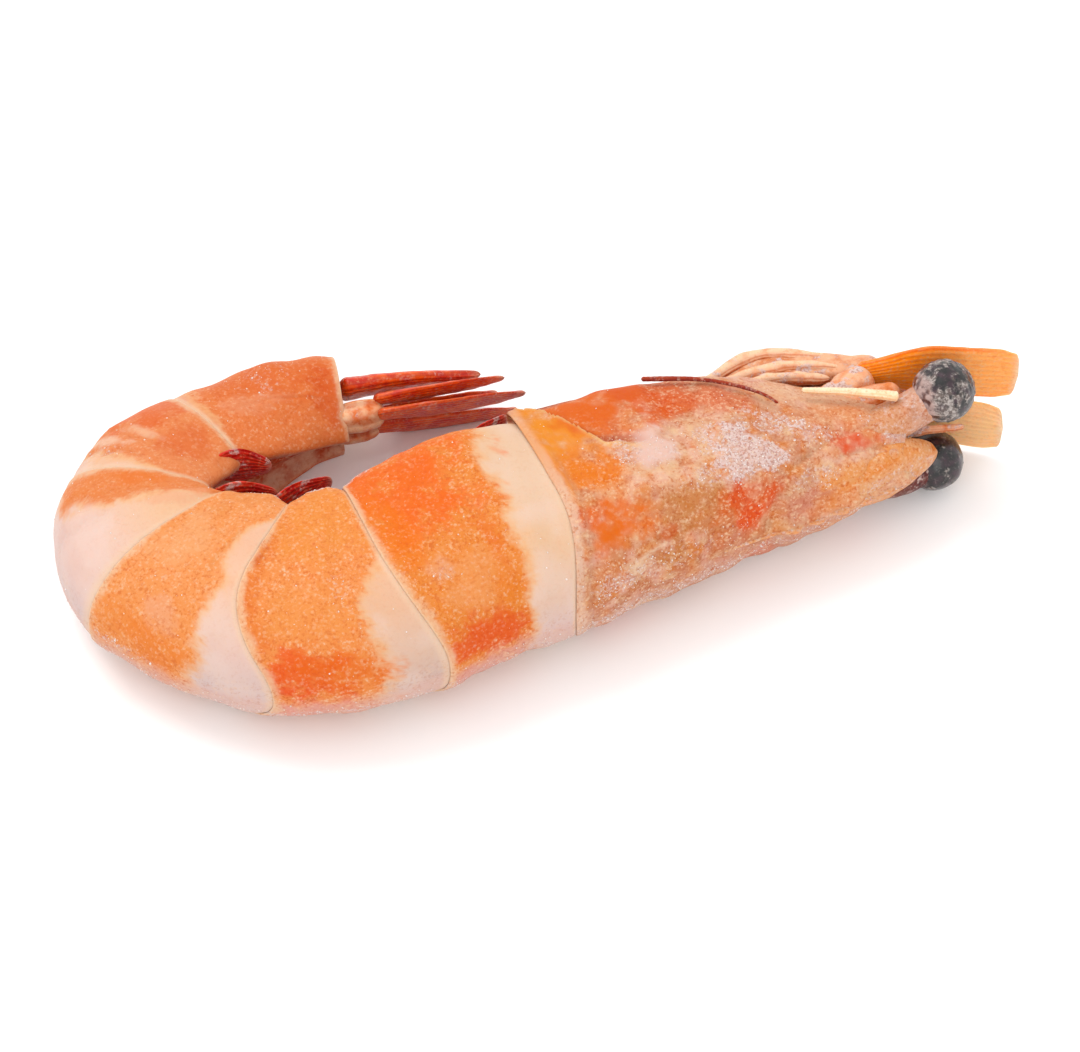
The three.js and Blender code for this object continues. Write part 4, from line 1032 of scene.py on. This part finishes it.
def smooth_path(knots, steps):
    """Points and directions at even steps along a smooth curve through the knots."""
    knots = np.array(knots, float)
    ends = [2 * knots[0] - knots[1], *knots, 2 * knots[-1] - knots[-2]]
    fine = []
    for p0, p1, p2, p3 in zip(ends, ends[1:], ends[2:], ends[3:]):
        t1, t2, t3 = np.cumsum([np.linalg.norm(b - a) ** 0.5 for a, b in ((p0, p1), (p1, p2), (p2, p3))])
        t = np.linspace(t1, t2, 40, endpoint=False)[:, None]
        a1 = (t1 - t) / t1 * p0 + t / t1 * p1
        a2 = (t2 - t) / (t2 - t1) * p1 + (t - t1) / (t2 - t1) * p2
        a3 = (t3 - t) / (t3 - t2) * p2 + (t - t2) / (t3 - t2) * p3
        b1 = (t2 - t) / t2 * a1 + t / t2 * a2
        b2 = (t3 - t) / (t3 - t1) * a2 + (t - t1) / (t3 - t1) * a3
        fine.append((t2 - t) / (t2 - t1) * b1 + (t - t1) / (t2 - t1) * b2)
    fine = np.concatenate([*fine, [knots[-1]]])
    length = np.concatenate([[0], np.cumsum(np.linalg.norm(np.diff(fine, axis=0), axis=1))])
    even = np.linspace(0, length[-1], steps)
    points = np.stack([np.interp(even, length, fine[:, i]) for i in range(3)], -1)
    ahead = np.gradient(points, axis=0)
    return points, ahead / np.linalg.norm(ahead, axis=1, keepdims=True), length[-1]


def limb(knots, section, steps, sides, across=ACROSS, rounding=0.5, uneven=0.05, boxy=1.0):
    """Rings along a limb or blade with rounded ends, and shares along and around it. section gives its width,
    thickness and ribs at shares of its length, and across is the way that its width lies."""
    points, ahead, length = smooth_path(knots, steps)
    s = np.linspace(0, 1, steps)
    wide, thick, rib = (np.broadcast_to(v, s.shape) for v in section(s))
    end = np.minimum(np.minimum(s, 1 - s) * length / rounding, 1)
    close = np.sqrt(np.clip(1 - (1 - end) ** 2, 0.004, 1))
    flat = np.array(across) - (ahead @ np.array(across))[:, None] * ahead
    flat /= np.linalg.norm(flat, axis=1, keepdims=True)
    upright = np.cross(ahead, flat)
    around = ring(sides)
    w = (wide / 2 * close)[:, None] * np.sign(np.cos(around)) * np.abs(np.cos(around)) ** boxy
    up = np.sign(np.sin(around)) * np.abs(np.sin(around)) ** boxy
    t = ((thick / 2)[:, None] + rib[:, None] * np.abs(up) ** 6) * close[:, None] * up
    rings = points[:, None] + w[..., None] * flat[:, None] + t[..., None] * upright[:, None]
    rings += uneven * grain(rings, 0.8, 11)[..., None] * (upright[:, None] * np.sign(up)[None, :, None])
    return rings, {"along": s[:, None], "down": np.cos(around)[None]}


def mirrored(knots, sign):
    return [(x, sign * y, z) for x, y, z in knots]


def stalk_section(s):
    thick = mix(*STALK["thick"], smooth(s)) + (STALK["cup"] - STALK["thick"][1]) * smooth((s - 0.45) / 0.5)
    return thick, thick, 0.0


def stalk_paint(root, light, deep, frost_share):
    """Skin of two colours in clouds, of another at its root, with frost that thickens towards the eye."""

    def paint(wire):
        place = wire.place()
        along = wire.value("along")
        base = wire.blend(shade(light), shade(deep), wire.noise(place, 0.9, 3.0).step(0.42, 0.7))
        base = wire.blend(shade(root), base, along.step(0.45, 0.7))
        return cooked(wire, place, base, "#f0d6cc", 1.0, (0.3 + along * 0.7) * frost_share, distance=0.06)

    return paint


for side, sign in SIDES.items():
    at_eye = [tuple(c + o for c, o in zip(EYES[side], offset)) for offset in (STALK_BOW[side], STALK["into"])]
    knots = mirrored([STALK["from"], *at_eye], sign)
    stalk_skin = material(f"{side} eye stalk", stalk_paint(*STALK_HUES[side]), Coat_Weight=0.15, **FLESHY)
    stalk = skin(f"stalk_{side}", *limb(knots, stalk_section, 60, 48, rounding=1.2), stalk_skin)
    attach(stalk, "root")
    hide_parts(f"eye_stalk_{side}")

# Feelers
# A stout jointed base on each side carries the long feeler, which has broken off, and a thinner feeler lies on
# each side between the eyes. A cream stub and a dark red strand of broken feeler lie against the head.
FEELER_BASE = {"path": [(24.5, 2.6, -2.6), (28.4, 3.1, -3.9), (31.6, 3.3, -4.8)], "thick": (3.9, 2.9)}
FEELER_ROOT = {
    "path": [(26.5, 2.9, -2.2), (29.5, 3.3, -2.4), (31.6, 3.4, -2.3), (33.3, 3.4, -2.2)],
    "thick": (3.4, 2.4),
}
SMALL_FEELER = {"path": [(28.4, 0.95, -1.2), (33, 0.85, -1.3), (38.6, 0.95, -0.2)], "thick": 1.3}
STUB = {"path": [(24.5, 6.2, -3.2), (28.4, 5.95, -1.8), (32.2, 5.5, -0.3)], "thick": 0.52, "end": 1.75}
STRAND = {
    "path": [(12.2, 6.3, -8.9), (16.4, 6.7, -7.0), (19.2, 6.8, -5.2), (21.2, 6.9, -3.2), (21.9, 6.9, -2.0)],
    "thick": 0.46,
    "end": 0.55,
}
SHADED = 1.15  # how bright the light is on what lies behind the head


def knuckles(s, joints):
    """How much thicker a limb is at its joints."""
    return 1 + 0.2 * sum(bell(s - joint, 0.04) for joint in joints)


def feeler_paint(light, deep, seam, frost_share):
    """Thin shell that is darker, as painted shade, where it turns away on either side, with frost lying in
    clouds on it.
    """

    def paint(wire):
        place = wire.place()
        clouds = wire.noise(place, 1.0, 3.0).step(0.45, 0.68)
        base = wire.blend(shade(light, SHADED), shade(deep, SHADED), clouds)
        # painted shade: the seam colour darkens the shell where it turns away on either side; the same colour
        # also draws fine stripes along it
        turned = wire.math("ABSOLUTE", wire.value("down")).step(0.6, 0.25)
        base = wire.blend(base, shade(seam, SHADED), turned * 0.8)
        lines = wire.math("SINE", wire.value("down") * 8.0 + wire.noise(place, 1.8, 2.0) * 5.0)
        base = wire.blend(base, shade(seam, SHADED), lines.step(0.35, 1.0) * 0.55)
        frost = wire.noise(place, 1.4, 3.0).step(0.42, 0.72) * frost_share
        return cooked(wire, place, base, "#fbdcc2", 0.55, frost, raised=lines * -0.35)

    return paint


def feeler_material(name, hues, frost_share, coat):
    return material(name, feeler_paint(*hues, frost_share), Coat_Weight=coat, **FLESHY)


feeler_skin = feeler_material("feeler shell", ("#efb692", "#e08c5c", "#cc7a54"), 1.5, 0.15)
root_skin = feeler_material("feeler root", ("#ecaa84", "#dd8450", "#c8693c"), 0.5, 0.15)
stub_skin = feeler_material("broken feeler", ("#fde3c2", "#fbd6ac", "#f4c496"), 0.0, 0.1)
strand_skin = feeler_material("dark red strand", ("#a24c34", "#8a3c28", "#7c3020"), 0.0, 0.2)


def base_section(s):
    thick = mix(*FEELER_BASE["thick"], s) * (1 - 0.12 * np.sin(2 * math.pi * s))
    thick = thick * (1 - 0.08 * bell(s - 0.55, 0.05))
    return thick, 0.9 * thick, 0.0


def root_section(s):
    thick = mix(*FEELER_ROOT["thick"], s)
    return thick, 0.85 * thick, 0.0


def small_feeler_section(s):
    across = SMALL_FEELER["thick"] * (1 - 0.6 * s) * knuckles(s, (0.33, 0.6))
    return across, across, 0.0


feeler_pieces = []
for side, sign in SIDES.items():
    shape = limb(mirrored(FEELER_BASE["path"], sign), base_section, 60, 44, rounding=0.9)
    feeler_pieces.append((f"feeler_base_{side}", f"antenna_base_{side}", shape, feeler_skin))
    shape = limb(mirrored(FEELER_ROOT["path"], sign), root_section, 60, 44, rounding=0.9, uneven=0.12)
    feeler_pieces.append((f"feeler_root_{side}", None, shape, root_skin))
    shape = limb(mirrored(SMALL_FEELER["path"], sign), small_feeler_section, 90, 24, rounding=0.3)
    feeler_pieces.append((f"small_feeler_{side}", f"antennule_{side}", shape, feeler_skin))
for name, node, thread, look in (
    ("broken_stub", "feeler_stub", STUB, stub_skin),
    ("red_strand", "feeler_strand", STRAND, strand_skin),
):

    def thread_section(s):
        ringed = thread["thick"] * mix(1.0, thread["end"], s) * (1 + 0.025 * np.sin(150 * s))
        return ringed, ringed, 0.0

    shape = limb(thread["path"], thread_section, 150, 16, rounding=0.25, uneven=0.02)
    feeler_pieces.append((name, node, shape, look))
for name, node, shape, look in feeler_pieces:
    piece = skin(name, *shape, look)
    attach(piece, "root")
    if node:
        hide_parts(node)

# Feeler scales
# A flat blade on each feeler base, stiffened by ribs along it and blunt at its tip, which steers the prawn when
# it swims. It is thin enough for light to glow through it, and its outer edge is a stiff, darker rib.
SCALES = {
    "left": {
        "path": [(30.6, 3.3, -5.7), (35.0, 3.05, -4.7), (39.8, 2.8, -2.9), (43.8, 2.6, -1.3)], "wide": 6.3,
    },
    "right": {
        "path": [(30.6, 3.4, -5.7), (34.4, 3.6, -5.3), (38.6, 3.6, -3.3), (42.6, 3.5, -0.8)], "wide": 6.0,
    },
}
SCALE_HUES = {"left": ("#fcac62", "#fb8a34", "#ff6a20"), "right": ("#fdca92", "#fdb878", "#fba866")}
GLOW = {"blade": 0.78, "rib": 0.7}  # as if in less light, which deepens their colours


def scale_paint(light, deep, rib):
    """Thin ribbed shell, deeper in colour towards its root and at its edges."""

    def paint(wire):
        place = wire.place()
        along, down = wire.value("along"), wire.value("down")
        deeper = (along.step(0.85, 0.1) * 0.7 + wire.noise(place, 1.6, 3.0) * 0.6).step(0.35, 0.95)
        base = wire.blend(shade(light, SHADED), shade(deep, GLOW["blade"]), deeper)
        edges = (down * down).step(0.72, 0.95) * along.step(0.99, 0.7)
        base = wire.blend(base, shade(rib, GLOW["rib"]), edges * 0.75)
        base = wire.blend(base, shade("#fbe3c8"), along.step(0.94, 0.995) * 0.6)
        ribs = wire.math("SINE", down * 34.0)
        base = wire.blend(base, shade("#fbc98c"), ribs.step(0.3, 1.0) * 0.25)
        colour = speckled(wire, place, base, shade("#fbd9b2"), 0.45)
        return {
            "Base Color": colour,
            "Roughness": 0.42 + 0.25 * wire.noise(place, 0.7),
            "Normal": wire.bump(ribs * 0.5 + wire.noise(place, 0.4, 2.0), 0.06),
        }

    return paint


for side, sign in SIDES.items():
    blade_wide = SCALES[side]["wide"]

    def scale_section(s):
        wide = blade_wide * (0.42 + 0.58 * smooth(s / 0.5)) * (1 - 0.16 * smooth((s - 0.85) / 0.15))
        return wide, mix(1.1, 0.35, s), 0.12

    glowing = {**FLESHY, "Subsurface_Weight": 0.4}
    scale_skin = material(f"{side} scale", scale_paint(*SCALE_HUES[side]), Coat_Weight=0.15, **glowing)
    knots = mirrored(SCALES[side]["path"], sign)
    scale = skin(f"feeler_scale_{side}", *limb(knots, scale_section, 90, 72, rounding=0.5), scale_skin)
    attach(scale, "root")
    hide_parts(f"antennal_scale_{side}")

# Walking legs and mouth
# Five pairs of thin jointed legs and a leaf-like pair in front of them, folded forward and frozen together
# under the head, with the soft mouth parts between them. Their shell is thin, and frost turns it almost white.
LEGS = {"first_root": 19.0, "pitch": 3.9, "root_down": 5.4, "opens_from": 14, "opens_over": 10, "rise": 0.38}
LEG_BEND = {"ahead": 0.9, "down": 0.75, "ends": 2.4}  # from its root, and the share of the way down to its lane
LEG_WIDTH = {"root": 1.4, "shin": 1.04, "flatness": 1.1}
# The lanes that the folded legs lie in: how far out, how far down at their roots and ahead, and where they end.
LANES = [
    {"out": 2.45, "near": 6.3, "far": 8.2, "tip": 28.6},
    {"out": 0.95, "near": 6.7, "far": 8.8, "tip": 27.4},
    {"out": 2.35, "near": 7.4, "far": 9.65, "tip": 29.8},
    {"out": 0.95, "near": 8.1, "far": 10.25, "tip": 29.0},
    {"out": 2.35, "near": 8.8, "far": 11.1, "tip": 29.2},
]
LEAF_LEG = {"path": [(22.0, 1.1, -4.6), (25.0, 1.1, -6.3), (31, 1.1, -6.3), (37.2, 1.1, -5.8)], "thick": 1.5}
MOUTH = {"path": [(19.5, 0, -3.4), (24.0, 0, -4.2), (28.0, 0, -3.9)], "wide": 4.0, "thick": 3.8}
CRUST = {
    "path": [
        (18.5, 0.2, -7.8), (21, 0.3, -8.8), (24, 0.4, -9.5),
        (28, 0.5, -8.6), (31.0, 0.6, -7.2), (33.6, 0.8, -6.4),
    ],
    "wide": 4.5,
    "thick": 3.3,
}  # the frost that fills the gaps between the folded legs


def crust_section(s):
    return CRUST["wide"] * (1 - 0.12 * s), CRUST["thick"] * (0.85 + 0.15 * np.sin(math.pi * s)), 0.0


def lane_height(lane, x):
    """How high a leg lies in its lane of the folded bundle, which opens out and rises ahead."""
    risen = LEGS["rise"] * max(0, x - LEGS["opens_from"] - LEGS["opens_over"])
    return risen - mix(lane["near"], lane["far"], float(smooth((x - LEGS["opens_from"]) / LEGS["opens_over"])))


def leg_path(number):
    lane = LANES[number]
    root = LEGS["first_root"] - LEGS["pitch"] * number
    bent_down = mix(-LEGS["root_down"], lane_height(lane, root), LEG_BEND["down"])
    bend = (root + LEG_BEND["ahead"], lane["out"], bent_down)
    along = [mix(root + LEG_BEND["ends"], lane["tip"], share) for share in (0, 0.25, 0.5, 0.75, 1)]
    lain = [(x, lane["out"], lane_height(lane, x)) for x in along]
    return [(root, lane["out"], -LEGS["root_down"]), bend, *lain]


def leg_section(s):
    slim = mix(LEG_WIDTH["root"], LEG_WIDTH["shin"], smooth(s / 0.15))
    thick = slim * (1 - 0.5 * smooth((s - 0.88) / 0.12)) * knuckles(s, (0.5, 0.74))
    return LEG_WIDTH["flatness"] * thick, thick, 0.0


def leaf_section(s):
    wide = LEAF_LEG["thick"] * (1 - 0.5 * s) * knuckles(s, (0.35, 0.66))
    return wide, 0.62 * wide, 0.0


def mouth_section(s):
    plump = np.sqrt(np.maximum(0.12, 1 - (1.9 * s - 1) ** 2))
    return MOUTH["wide"] * plump, MOUTH["thick"] * plump, 0.0


leg_skin = feeler_material("leg shell", ("#f5caa8", "#ebab82", "#cf6a34"), 0.7, 0.12)
mouth_skin = feeler_material("mouth parts", ("#ecb796", "#d58760", "#c06238"), 0.5, 0.15)
# painted shade: the frost between the legs is coloured darker than the legs, so that the gaps between them look
# shaded
crust_and_shade_skin = feeler_material("frost between the legs", ("#eab592", "#d98f66", "#cf8458"), 0.9, 0.0)
limbs = [("mouth", "mouthparts", MOUTH["path"], mouth_section, (50, 40), mouth_skin, "mouth")]
for side, sign in SIDES.items():
    names = (f"leaf_leg_{side}", f"maxilliped_{side}")
    limbs.append((*names, mirrored(LEAF_LEG["path"], sign), leaf_section, (110, 20), leg_skin, "legs"))
    for number in range(len(LANES)):
        names = (f"walking_leg_{side}_{number + 1}", f"leg_{side}_{number + 1}")
        limbs.append((*names, mirrored(leg_path(number), sign), leg_section, (150, 24), leg_skin, "legs"))
for name, node, knots, section, mesh_size, look, slot in limbs:
    piece = skin(name, *limb(knots, section, *mesh_size, rounding=0.4, uneven=0.09), look)
    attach(piece, "root")
    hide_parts(node)
points, values = limb(CRUST["path"], crust_section, 130, 150, rounding=1.2, uneven=0.16, boxy=0.45)
crust = skin("frost_between_legs", points + 0.07 * grain(points, 0.35, 12)[..., None], values, crust_and_shade_skin)
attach(crust, "root")

# Swimming paddles
# A pair of soft, leaf-shaped paddles hangs under each of the first five tail segments, folded forward in death.
# They are thin, crimson and ribbed, with a fringe of fine hairs.
PADDLES = [(10.4, 33), (10.6, 36), (9.6, 70), (7.6, 90), (6.0, 130)]  # length, and degrees that it hangs down
PADDLE = {"at": 0.52, "out": 2.6, "wide": 4.2, "thick": 0.8, "root_thick": 1.5, "stem": 0.3}


def paddle_path(number, sign):
    length, swing = PADDLES[number]
    at = segment_start(number) + PADDLE["at"] * SEGMENTS[number]["length"]
    turned = float(middle(np.array(at))[2])
    root = body_points(at, sign * PADDLE["out"], -girth(at, "belly") + 0.8)
    forward = np.array([math.cos(turned), 0, math.sin(turned)])
    below = np.array([math.sin(turned), 0, -math.cos(turned)])

    def along(share, extra):
        angle = math.radians(swing + extra)
        return root + share * length * (forward * math.cos(angle) + below * math.sin(angle))

    return [root, along(0.33, 12), along(0.68, 6), along(1.0, 0)]


def paddle_section(s):
    leaf = np.sin(math.pi * smooth(0.04 + 0.9 * s)) ** 0.7
    wide = PADDLE["wide"] * (PADDLE["stem"] + (1 - PADDLE["stem"]) * leaf)
    thick = mix(PADDLE["root_thick"], PADDLE["thick"], smooth(s / 0.4)) * (1 - 0.4 * s)
    return wide, thick, 0.1 * (1 - s)


def ribbed_paint(light, deep, ribs_across, frost_share):
    """Ribbed shell of two colours in clouds, paler at its tip, with frost in patches."""

    def paint(wire):
        place = wire.place()
        along, down = wire.value("along"), wire.value("down")
        clouds = wire.noise(place, 1.3, 3.0).step(0.38, 0.68)
        base = wire.blend(shade(light, SHADED), shade(deep, SHADED), clouds)
        ribs = wire.math("SINE", down * ribs_across)
        base = wire.blend(base, shade("#9c2c1a"), ribs.step(-0.3, -1.0) * 0.35)
        base = wire.blend(base, shade("#f2b79a"), along.step(0.9, 1.0) * 0.5)
        frost = wire.noise(place, 1.4, 2.0).step(0.45, 0.75) * frost_share
        return cooked(wire, place, base, "#f0a884", 0.8, frost, raised=ribs * 0.8)

    return paint


paddle_skin = material("paddle skin", ribbed_paint("#de4a38", "#bf3430", 26.0, 0.9), Coat_Weight=0.3, **FLESHY)
for side, sign in SIDES.items():
    for number in range(len(PADDLES)):
        shape = limb(paddle_path(number, sign), paddle_section, 70, 48, rounding=0.6)
        paddle = skin(f"paddle_{side}_{number + 1}", *shape, paddle_skin)
        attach(paddle, "root")
        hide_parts(f"pleopod_{side}_{number + 1}")

# Tail fan
# The pointed middle piece with a groove along it, and on each side a knob that carries two ribbed blades. All
# are stiff shell, the deepest red of the prawn, folded under one another and edged with short hairs.
TELSON = {"length": 12.5, "wide": 5.0, "thick": 2.0, "up": 1.2, "droop": 0.9}
# The fan's blades: "left" and "right" say how far out the blades of each side begin.
FAN = {
    "inner": {"length": 14.0, "wide": 4.2, "left": 2.5, "right": 2.2, "splay": 0.5, "up": -0.7, "droop": 0.3},
    "outer": {"length": 15.4, "wide": 4.9, "left": 3.0, "right": 2.0, "splay": 0.7, "up": -2.1, "droop": 0.7},
}
FAN_BASE = {"begin": -1.5, "length": 3.4, "wide": 2.9, "thick": 2.8, "out": 2.1, "up": -1.8}
FAN_OVERLAP = 0.9  # how far a blade runs into its knob


def fan_point(run, out, up):
    """A point this far behind the tail's last segment."""
    return body_points(BODY_END + run, out, up)


FAN_ACROSS = fan_point(1, 1, 0) - fan_point(1, 0, 0)


def telson_section(s):
    wide = TELSON["wide"] * (1 - 0.5 * s) * (1 - 0.86 * smooth((s - 0.5) / 0.5))
    return wide, TELSON["thick"] * (1 - 0.62 * s), -0.18 * (1 - s)


def fan_base_section(s):
    bulge = (2 * s - 1) ** 2
    return FAN_BASE["wide"] * (1 - 0.25 * bulge), FAN_BASE["thick"] * (1 - 0.3 * bulge), 0.0


fan_skin = material("tail fan shell", ribbed_paint("#f06c34", "#d64a1c", 30.0, 0.4), Coat_Weight=0.4, **FLESHY)
knob_skin = material("tail fan knobs", ribbed_paint("#f0c29a", "#e07a45", 6.0, 0.4), Coat_Weight=0.4, **FLESHY)
droops = [(s, TELSON["up"] - TELSON["droop"] * s * s) for s in (0, 0.35, 0.7, 1)]
telson_path = [fan_point(s * TELSON["length"], 0, up) for s, up in droops]
fan_pieces = [("telson_blade", "telson", telson_path, telson_section, fan_skin, 0.8)]
for side, sign in SIDES.items():
    runs = (FAN_BASE["begin"], 0.4, FAN_BASE["length"])
    base_path = [fan_point(run, sign * FAN_BASE["out"], FAN_BASE["up"]) for run in runs]
    fan_pieces.append((f"fan_knob_{side}", f"uropod_base_{side}", base_path, fan_base_section, knob_skin, 0.9))
    for place, fan in FAN.items():
        begin = FAN_BASE["length"] - FAN_OVERLAP
        blade_path = []
        for s in (0, 0.33, 0.66, 1):
            out = sign * (fan[side] + fan["splay"] * s)
            up = fan["up"] - fan["droop"] * s * (2 - s)
            blade_path.append(fan_point(begin + s * (fan["length"] - begin), out, up))

        def blade_section(s, wide=fan["wide"]):
            tip = np.sqrt(np.maximum(0.06, 1 - smooth((s - 0.6) / 0.4) ** 2))
            return wide * (0.5 + 0.5 * smooth(s / 0.35)) * tip, mix(0.9, 0.35, s), 0.1

        names = (f"fan_{place}_{side}", f"uropod_{place}_{side}")
        fan_pieces.append((*names, blade_path, blade_section, fan_skin, 0.6))
for name, node, knots, section, look, rounding in fan_pieces:
    piece = skin(name, *limb(knots, section, 90, 60, across=FAN_ACROSS, rounding=rounding), look)
    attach(piece, "root")
    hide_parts(node)

# Ice grains
# Small crystals of ice that froze onto the shell, thick where water ran together and sparse over the rest. They
# are clear and broken, none alike, and stand a fraction of a millimetre out of the shell.
# Grains to a square millimetre where frost lies thick and elsewhere, and their radii.
GRAINS = {"thick": 13.0, "sparse": 0.12, "small": 0.035, "large": 0.11, "seed": 4}
ICE = {"clear": (0.78, 0.72, 0.69, 1.0), "stained": (0.74, 0.56, 0.42, 1.0)}
# Beyond these places on a shell nothing shows: its inner side, and the thin rear rim.
GROUND_ENDS = {"down": 0.99, "along": 0.995}


def scatter_tree(name):
    """Scatters broken crystals over a mesh, as densely as its frost attribute says."""
    tree = bpy.data.node_groups.new(name, "GeometryNodeTree")
    floats = dict.fromkeys(("Thick", "Sparse", "Small", "Large"), "Float")
    for label, kind in {"Geometry": "Geometry", **floats, "Seed": "Int", "Ice": "Material"}.items():
        tree.interface.new_socket(label, in_out="INPUT", socket_type="NodeSocket" + kind)
    tree.interface.new_socket("Geometry", in_out="OUTPUT", socket_type="NodeSocketGeometry")
    given = {socket.name: Wire(tree, socket) for socket in tree.nodes.new("NodeGroupInput").outputs}
    wire = Wire(tree)

    def drawn(low, high, seed):
        inputs = {0: low, 1: high, "Seed": seed}
        return wire.node("FunctionNodeRandomValue", {"data_type": "FLOAT_VECTOR"}, inputs)

    frost = wire.node("GeometryNodeInputNamedAttribute", {"data_type": "FLOAT"}, {"Name": "frost"}, "Attribute")
    density = wire.math("MULTIPLY_ADD", frost, given["Thick"], given["Sparse"])
    inputs = {"Mesh": given["Geometry"], "Density": density, "Seed": given["Seed"]}
    points = wire.node("GeometryNodeDistributePointsOnFaces", {"distribute_method": "RANDOM"}, inputs, "Points")
    crystal = wire.node("GeometryNodeMeshIcoSphere", {}, {"Radius": 1.0, "Subdivisions": 1}, "Mesh")
    turn = drawn((0.0, 0.0, 0.0), (6.28, 6.28, 6.28), 1)
    stretch = drawn((0.55, 0.55, 0.5), (1.3, 1.0, 0.9), 2)
    draw = wire.node("FunctionNodeRandomValue", {"data_type": "FLOAT"}, {2: 0.0, 3: 1.0, "Seed": 3}, 1)
    mostly_small = wire.math("POWER", draw, 2.5)
    size = wire.node("ShaderNodeMapRange", {}, {0: mostly_small, 3: given["Small"], 4: given["Large"]})
    scale = wire.node("ShaderNodeVectorMath", {"operation": "SCALE"}, {"Vector": stretch, "Scale": size})
    inputs = {"Points": points, "Instance": crystal, "Rotation": turn, "Scale": scale}
    crystals = wire.node("GeometryNodeInstanceOnPoints", {}, inputs, "Instances")
    real = wire.node("GeometryNodeRealizeInstances", {}, {"Geometry": crystals}, "Geometry")
    inputs = {"Geometry": real, "Material": given["Ice"]}
    finished = wire.node("GeometryNodeSetMaterial", {}, inputs, "Geometry")
    tree.links.new(finished.socket, tree.nodes.new("NodeGroupOutput").inputs["Geometry"])
    return tree


def scattered(name, ground, tree, values):
    """A plain mesh of what a scatter tree makes over the ground, which is a piece with a frost attribute."""
    carrier = placed(name + "_carrier", ground)
    modifier = carrier.modifiers.new("scatter", "NODES")
    modifier.node_group = tree
    for item in tree.interface.items_tree:
        if item.in_out == "INPUT" and item.name in values:
            modifier[item.identifier] = values[item.name]
    shown = carrier.evaluated_get(bpy.context.evaluated_depsgraph_get())
    mesh = bpy.data.meshes.new_from_object(shown)
    bpy.data.objects.remove(carrier)
    mesh.name = name
    return placed(name, mesh)


def joined_ground(pieces, floor_clearance):
    """One mesh of the outer sides of several shells, without what lies near the table or inside."""
    corners, faces, frost = [], [], []
    for piece in pieces:
        mesh = piece.data
        co = np.zeros(len(mesh.vertices) * 3, np.float32)
        mesh.vertices.foreach_get("co", co)
        co = co.reshape(-1, 3)
        values = {}
        for key in ("frost", "down", "along"):
            values[key] = np.zeros(len(mesh.vertices), np.float32)
            mesh.attributes[key].data.foreach_get("value", values[key])
        shown = (values["down"] < GROUND_ENDS["down"]) & (values["along"] > 0.0)
        shown &= (values["along"] < GROUND_ENDS["along"]) & (co[:, 2] > floor_clearance)
        offset = sum(len(c) for c in corners)
        for polygon in mesh.polygons:
            if all(shown[v] for v in polygon.vertices):
                faces.append([v + offset for v in polygon.vertices])
        corners.append(co)
        frost.append(values["frost"])
    ground = bpy.data.meshes.new("frosted ground")
    ground.from_pydata(np.concatenate(corners).tolist(), [], faces)
    ground.attributes.new("frost", "FLOAT", "POINT").data.foreach_set("value", np.concatenate(frost))
    return ground


def ice_paint(wire):
    place = wire.place()
    return {
        "Base Color": wire.blend(ICE["clear"], ICE["stained"], wire.noise(place, 0.9).step(0.4, 0.65)),
        "Roughness": 0.12 + 0.25 * wire.noise(place, 0.3),
    }


ice = material("ice", ice_paint, IOR=1.31, Transmission_Weight=0.15, Specular_IOR_Level=0.5)
ground = joined_ground(shells, 0.9 * MM)
ice_grains = scattered("ice_grains", ground, scatter_tree("ice grains"), {
    "Thick": GRAINS["thick"] / MM**2,
    "Sparse": GRAINS["sparse"] / MM**2,
    "Small": GRAINS["small"] * MM,
    "Large": GRAINS["large"] * MM,
    "Seed": GRAINS["seed"],
    "Ice": ice,
})
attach(ice_grains, "root")

# Table and light
# The prawn lies on a plain white surface in soft, bright light from above and from the left, seen from over its
# back at the angle of the photograph.
LOOK_DOWN = math.radians(51)
VIEW = {"distance": 450, "middle": (0.0, 0.4, 6.0), "lens": 178, "sensor": 36}
FLOOR_SIZE = 3.0
FLOOR_HUES = {"light": (0.93, 0.92, 0.925, 1.0), "dull": (0.88, 0.87, 0.875, 1.0)}
LAMPS = {
    "key": {"place": (-0.35, 0.30, 0.75), "size": 0.45, "power": 2.8, "colour": (1.0, 0.985, 0.97)},
    "fill": {"place": (0.15, -0.6, 0.5), "size": 0.6, "power": 1.5, "colour": (1.0, 0.99, 0.98)},
}
DAYLIGHT = {"Color": (1.0, 0.99, 0.985, 1), "Strength": 1.22}
half = FLOOR_SIZE / 2
floor_mesh = bpy.data.meshes.new("table")
corners = [(-half, -half, 0), (half, -half, 0), (half, half, 0), (-half, half, 0)]
floor_mesh.from_pydata(corners, [], [(0, 1, 2, 3)])
floor = placed("table", floor_mesh)


def floor_paint(wire):
    cloud = wire.noise(wire.place(), 60.0, 2.0)
    return {
        "Base Color": wire.blend(FLOOR_HUES["light"], FLOOR_HUES["dull"], cloud),
        "Roughness": 0.5 + 0.1 * cloud,
    }


floor.data.materials.append(material("table top", floor_paint, Specular_IOR_Level=0.2))

camera = placed("camera", bpy.data.cameras.new("camera"))
camera.data.lens = VIEW["lens"]
camera.data.sensor_width = VIEW["sensor"]
back = Vector((0, -math.cos(LOOK_DOWN), math.sin(LOOK_DOWN)))
camera.location = (Vector(VIEW["middle"]) + back * VIEW["distance"]) * MM
camera.rotation_euler = (-back).to_track_quat("-Z", "Y").to_euler()
camera.data.clip_start = 0.01
camera.data.clip_end = 10
bpy.context.scene.camera = camera

for name, lamp in LAMPS.items():
    light = bpy.data.lights.new(name, "AREA")
    light.shape = "DISK"
    light.size = lamp["size"]
    light.energy = lamp["power"]
    light.color = lamp["colour"]
    hung = placed(name, light)
    hung.location = lamp["place"]
    hung.rotation_euler = (-Vector(lamp["place"])).to_track_quat("-Z", "Y").to_euler()
world = bpy.data.worlds.new("daylight")
world.use_nodes = True
for socket, value in DAYLIGHT.items():
    world.node_tree.nodes["Background"].inputs[socket].default_value = value
bpy.context.scene.world = world
bpy.context.scene.view_settings.view_transform = "Standard"
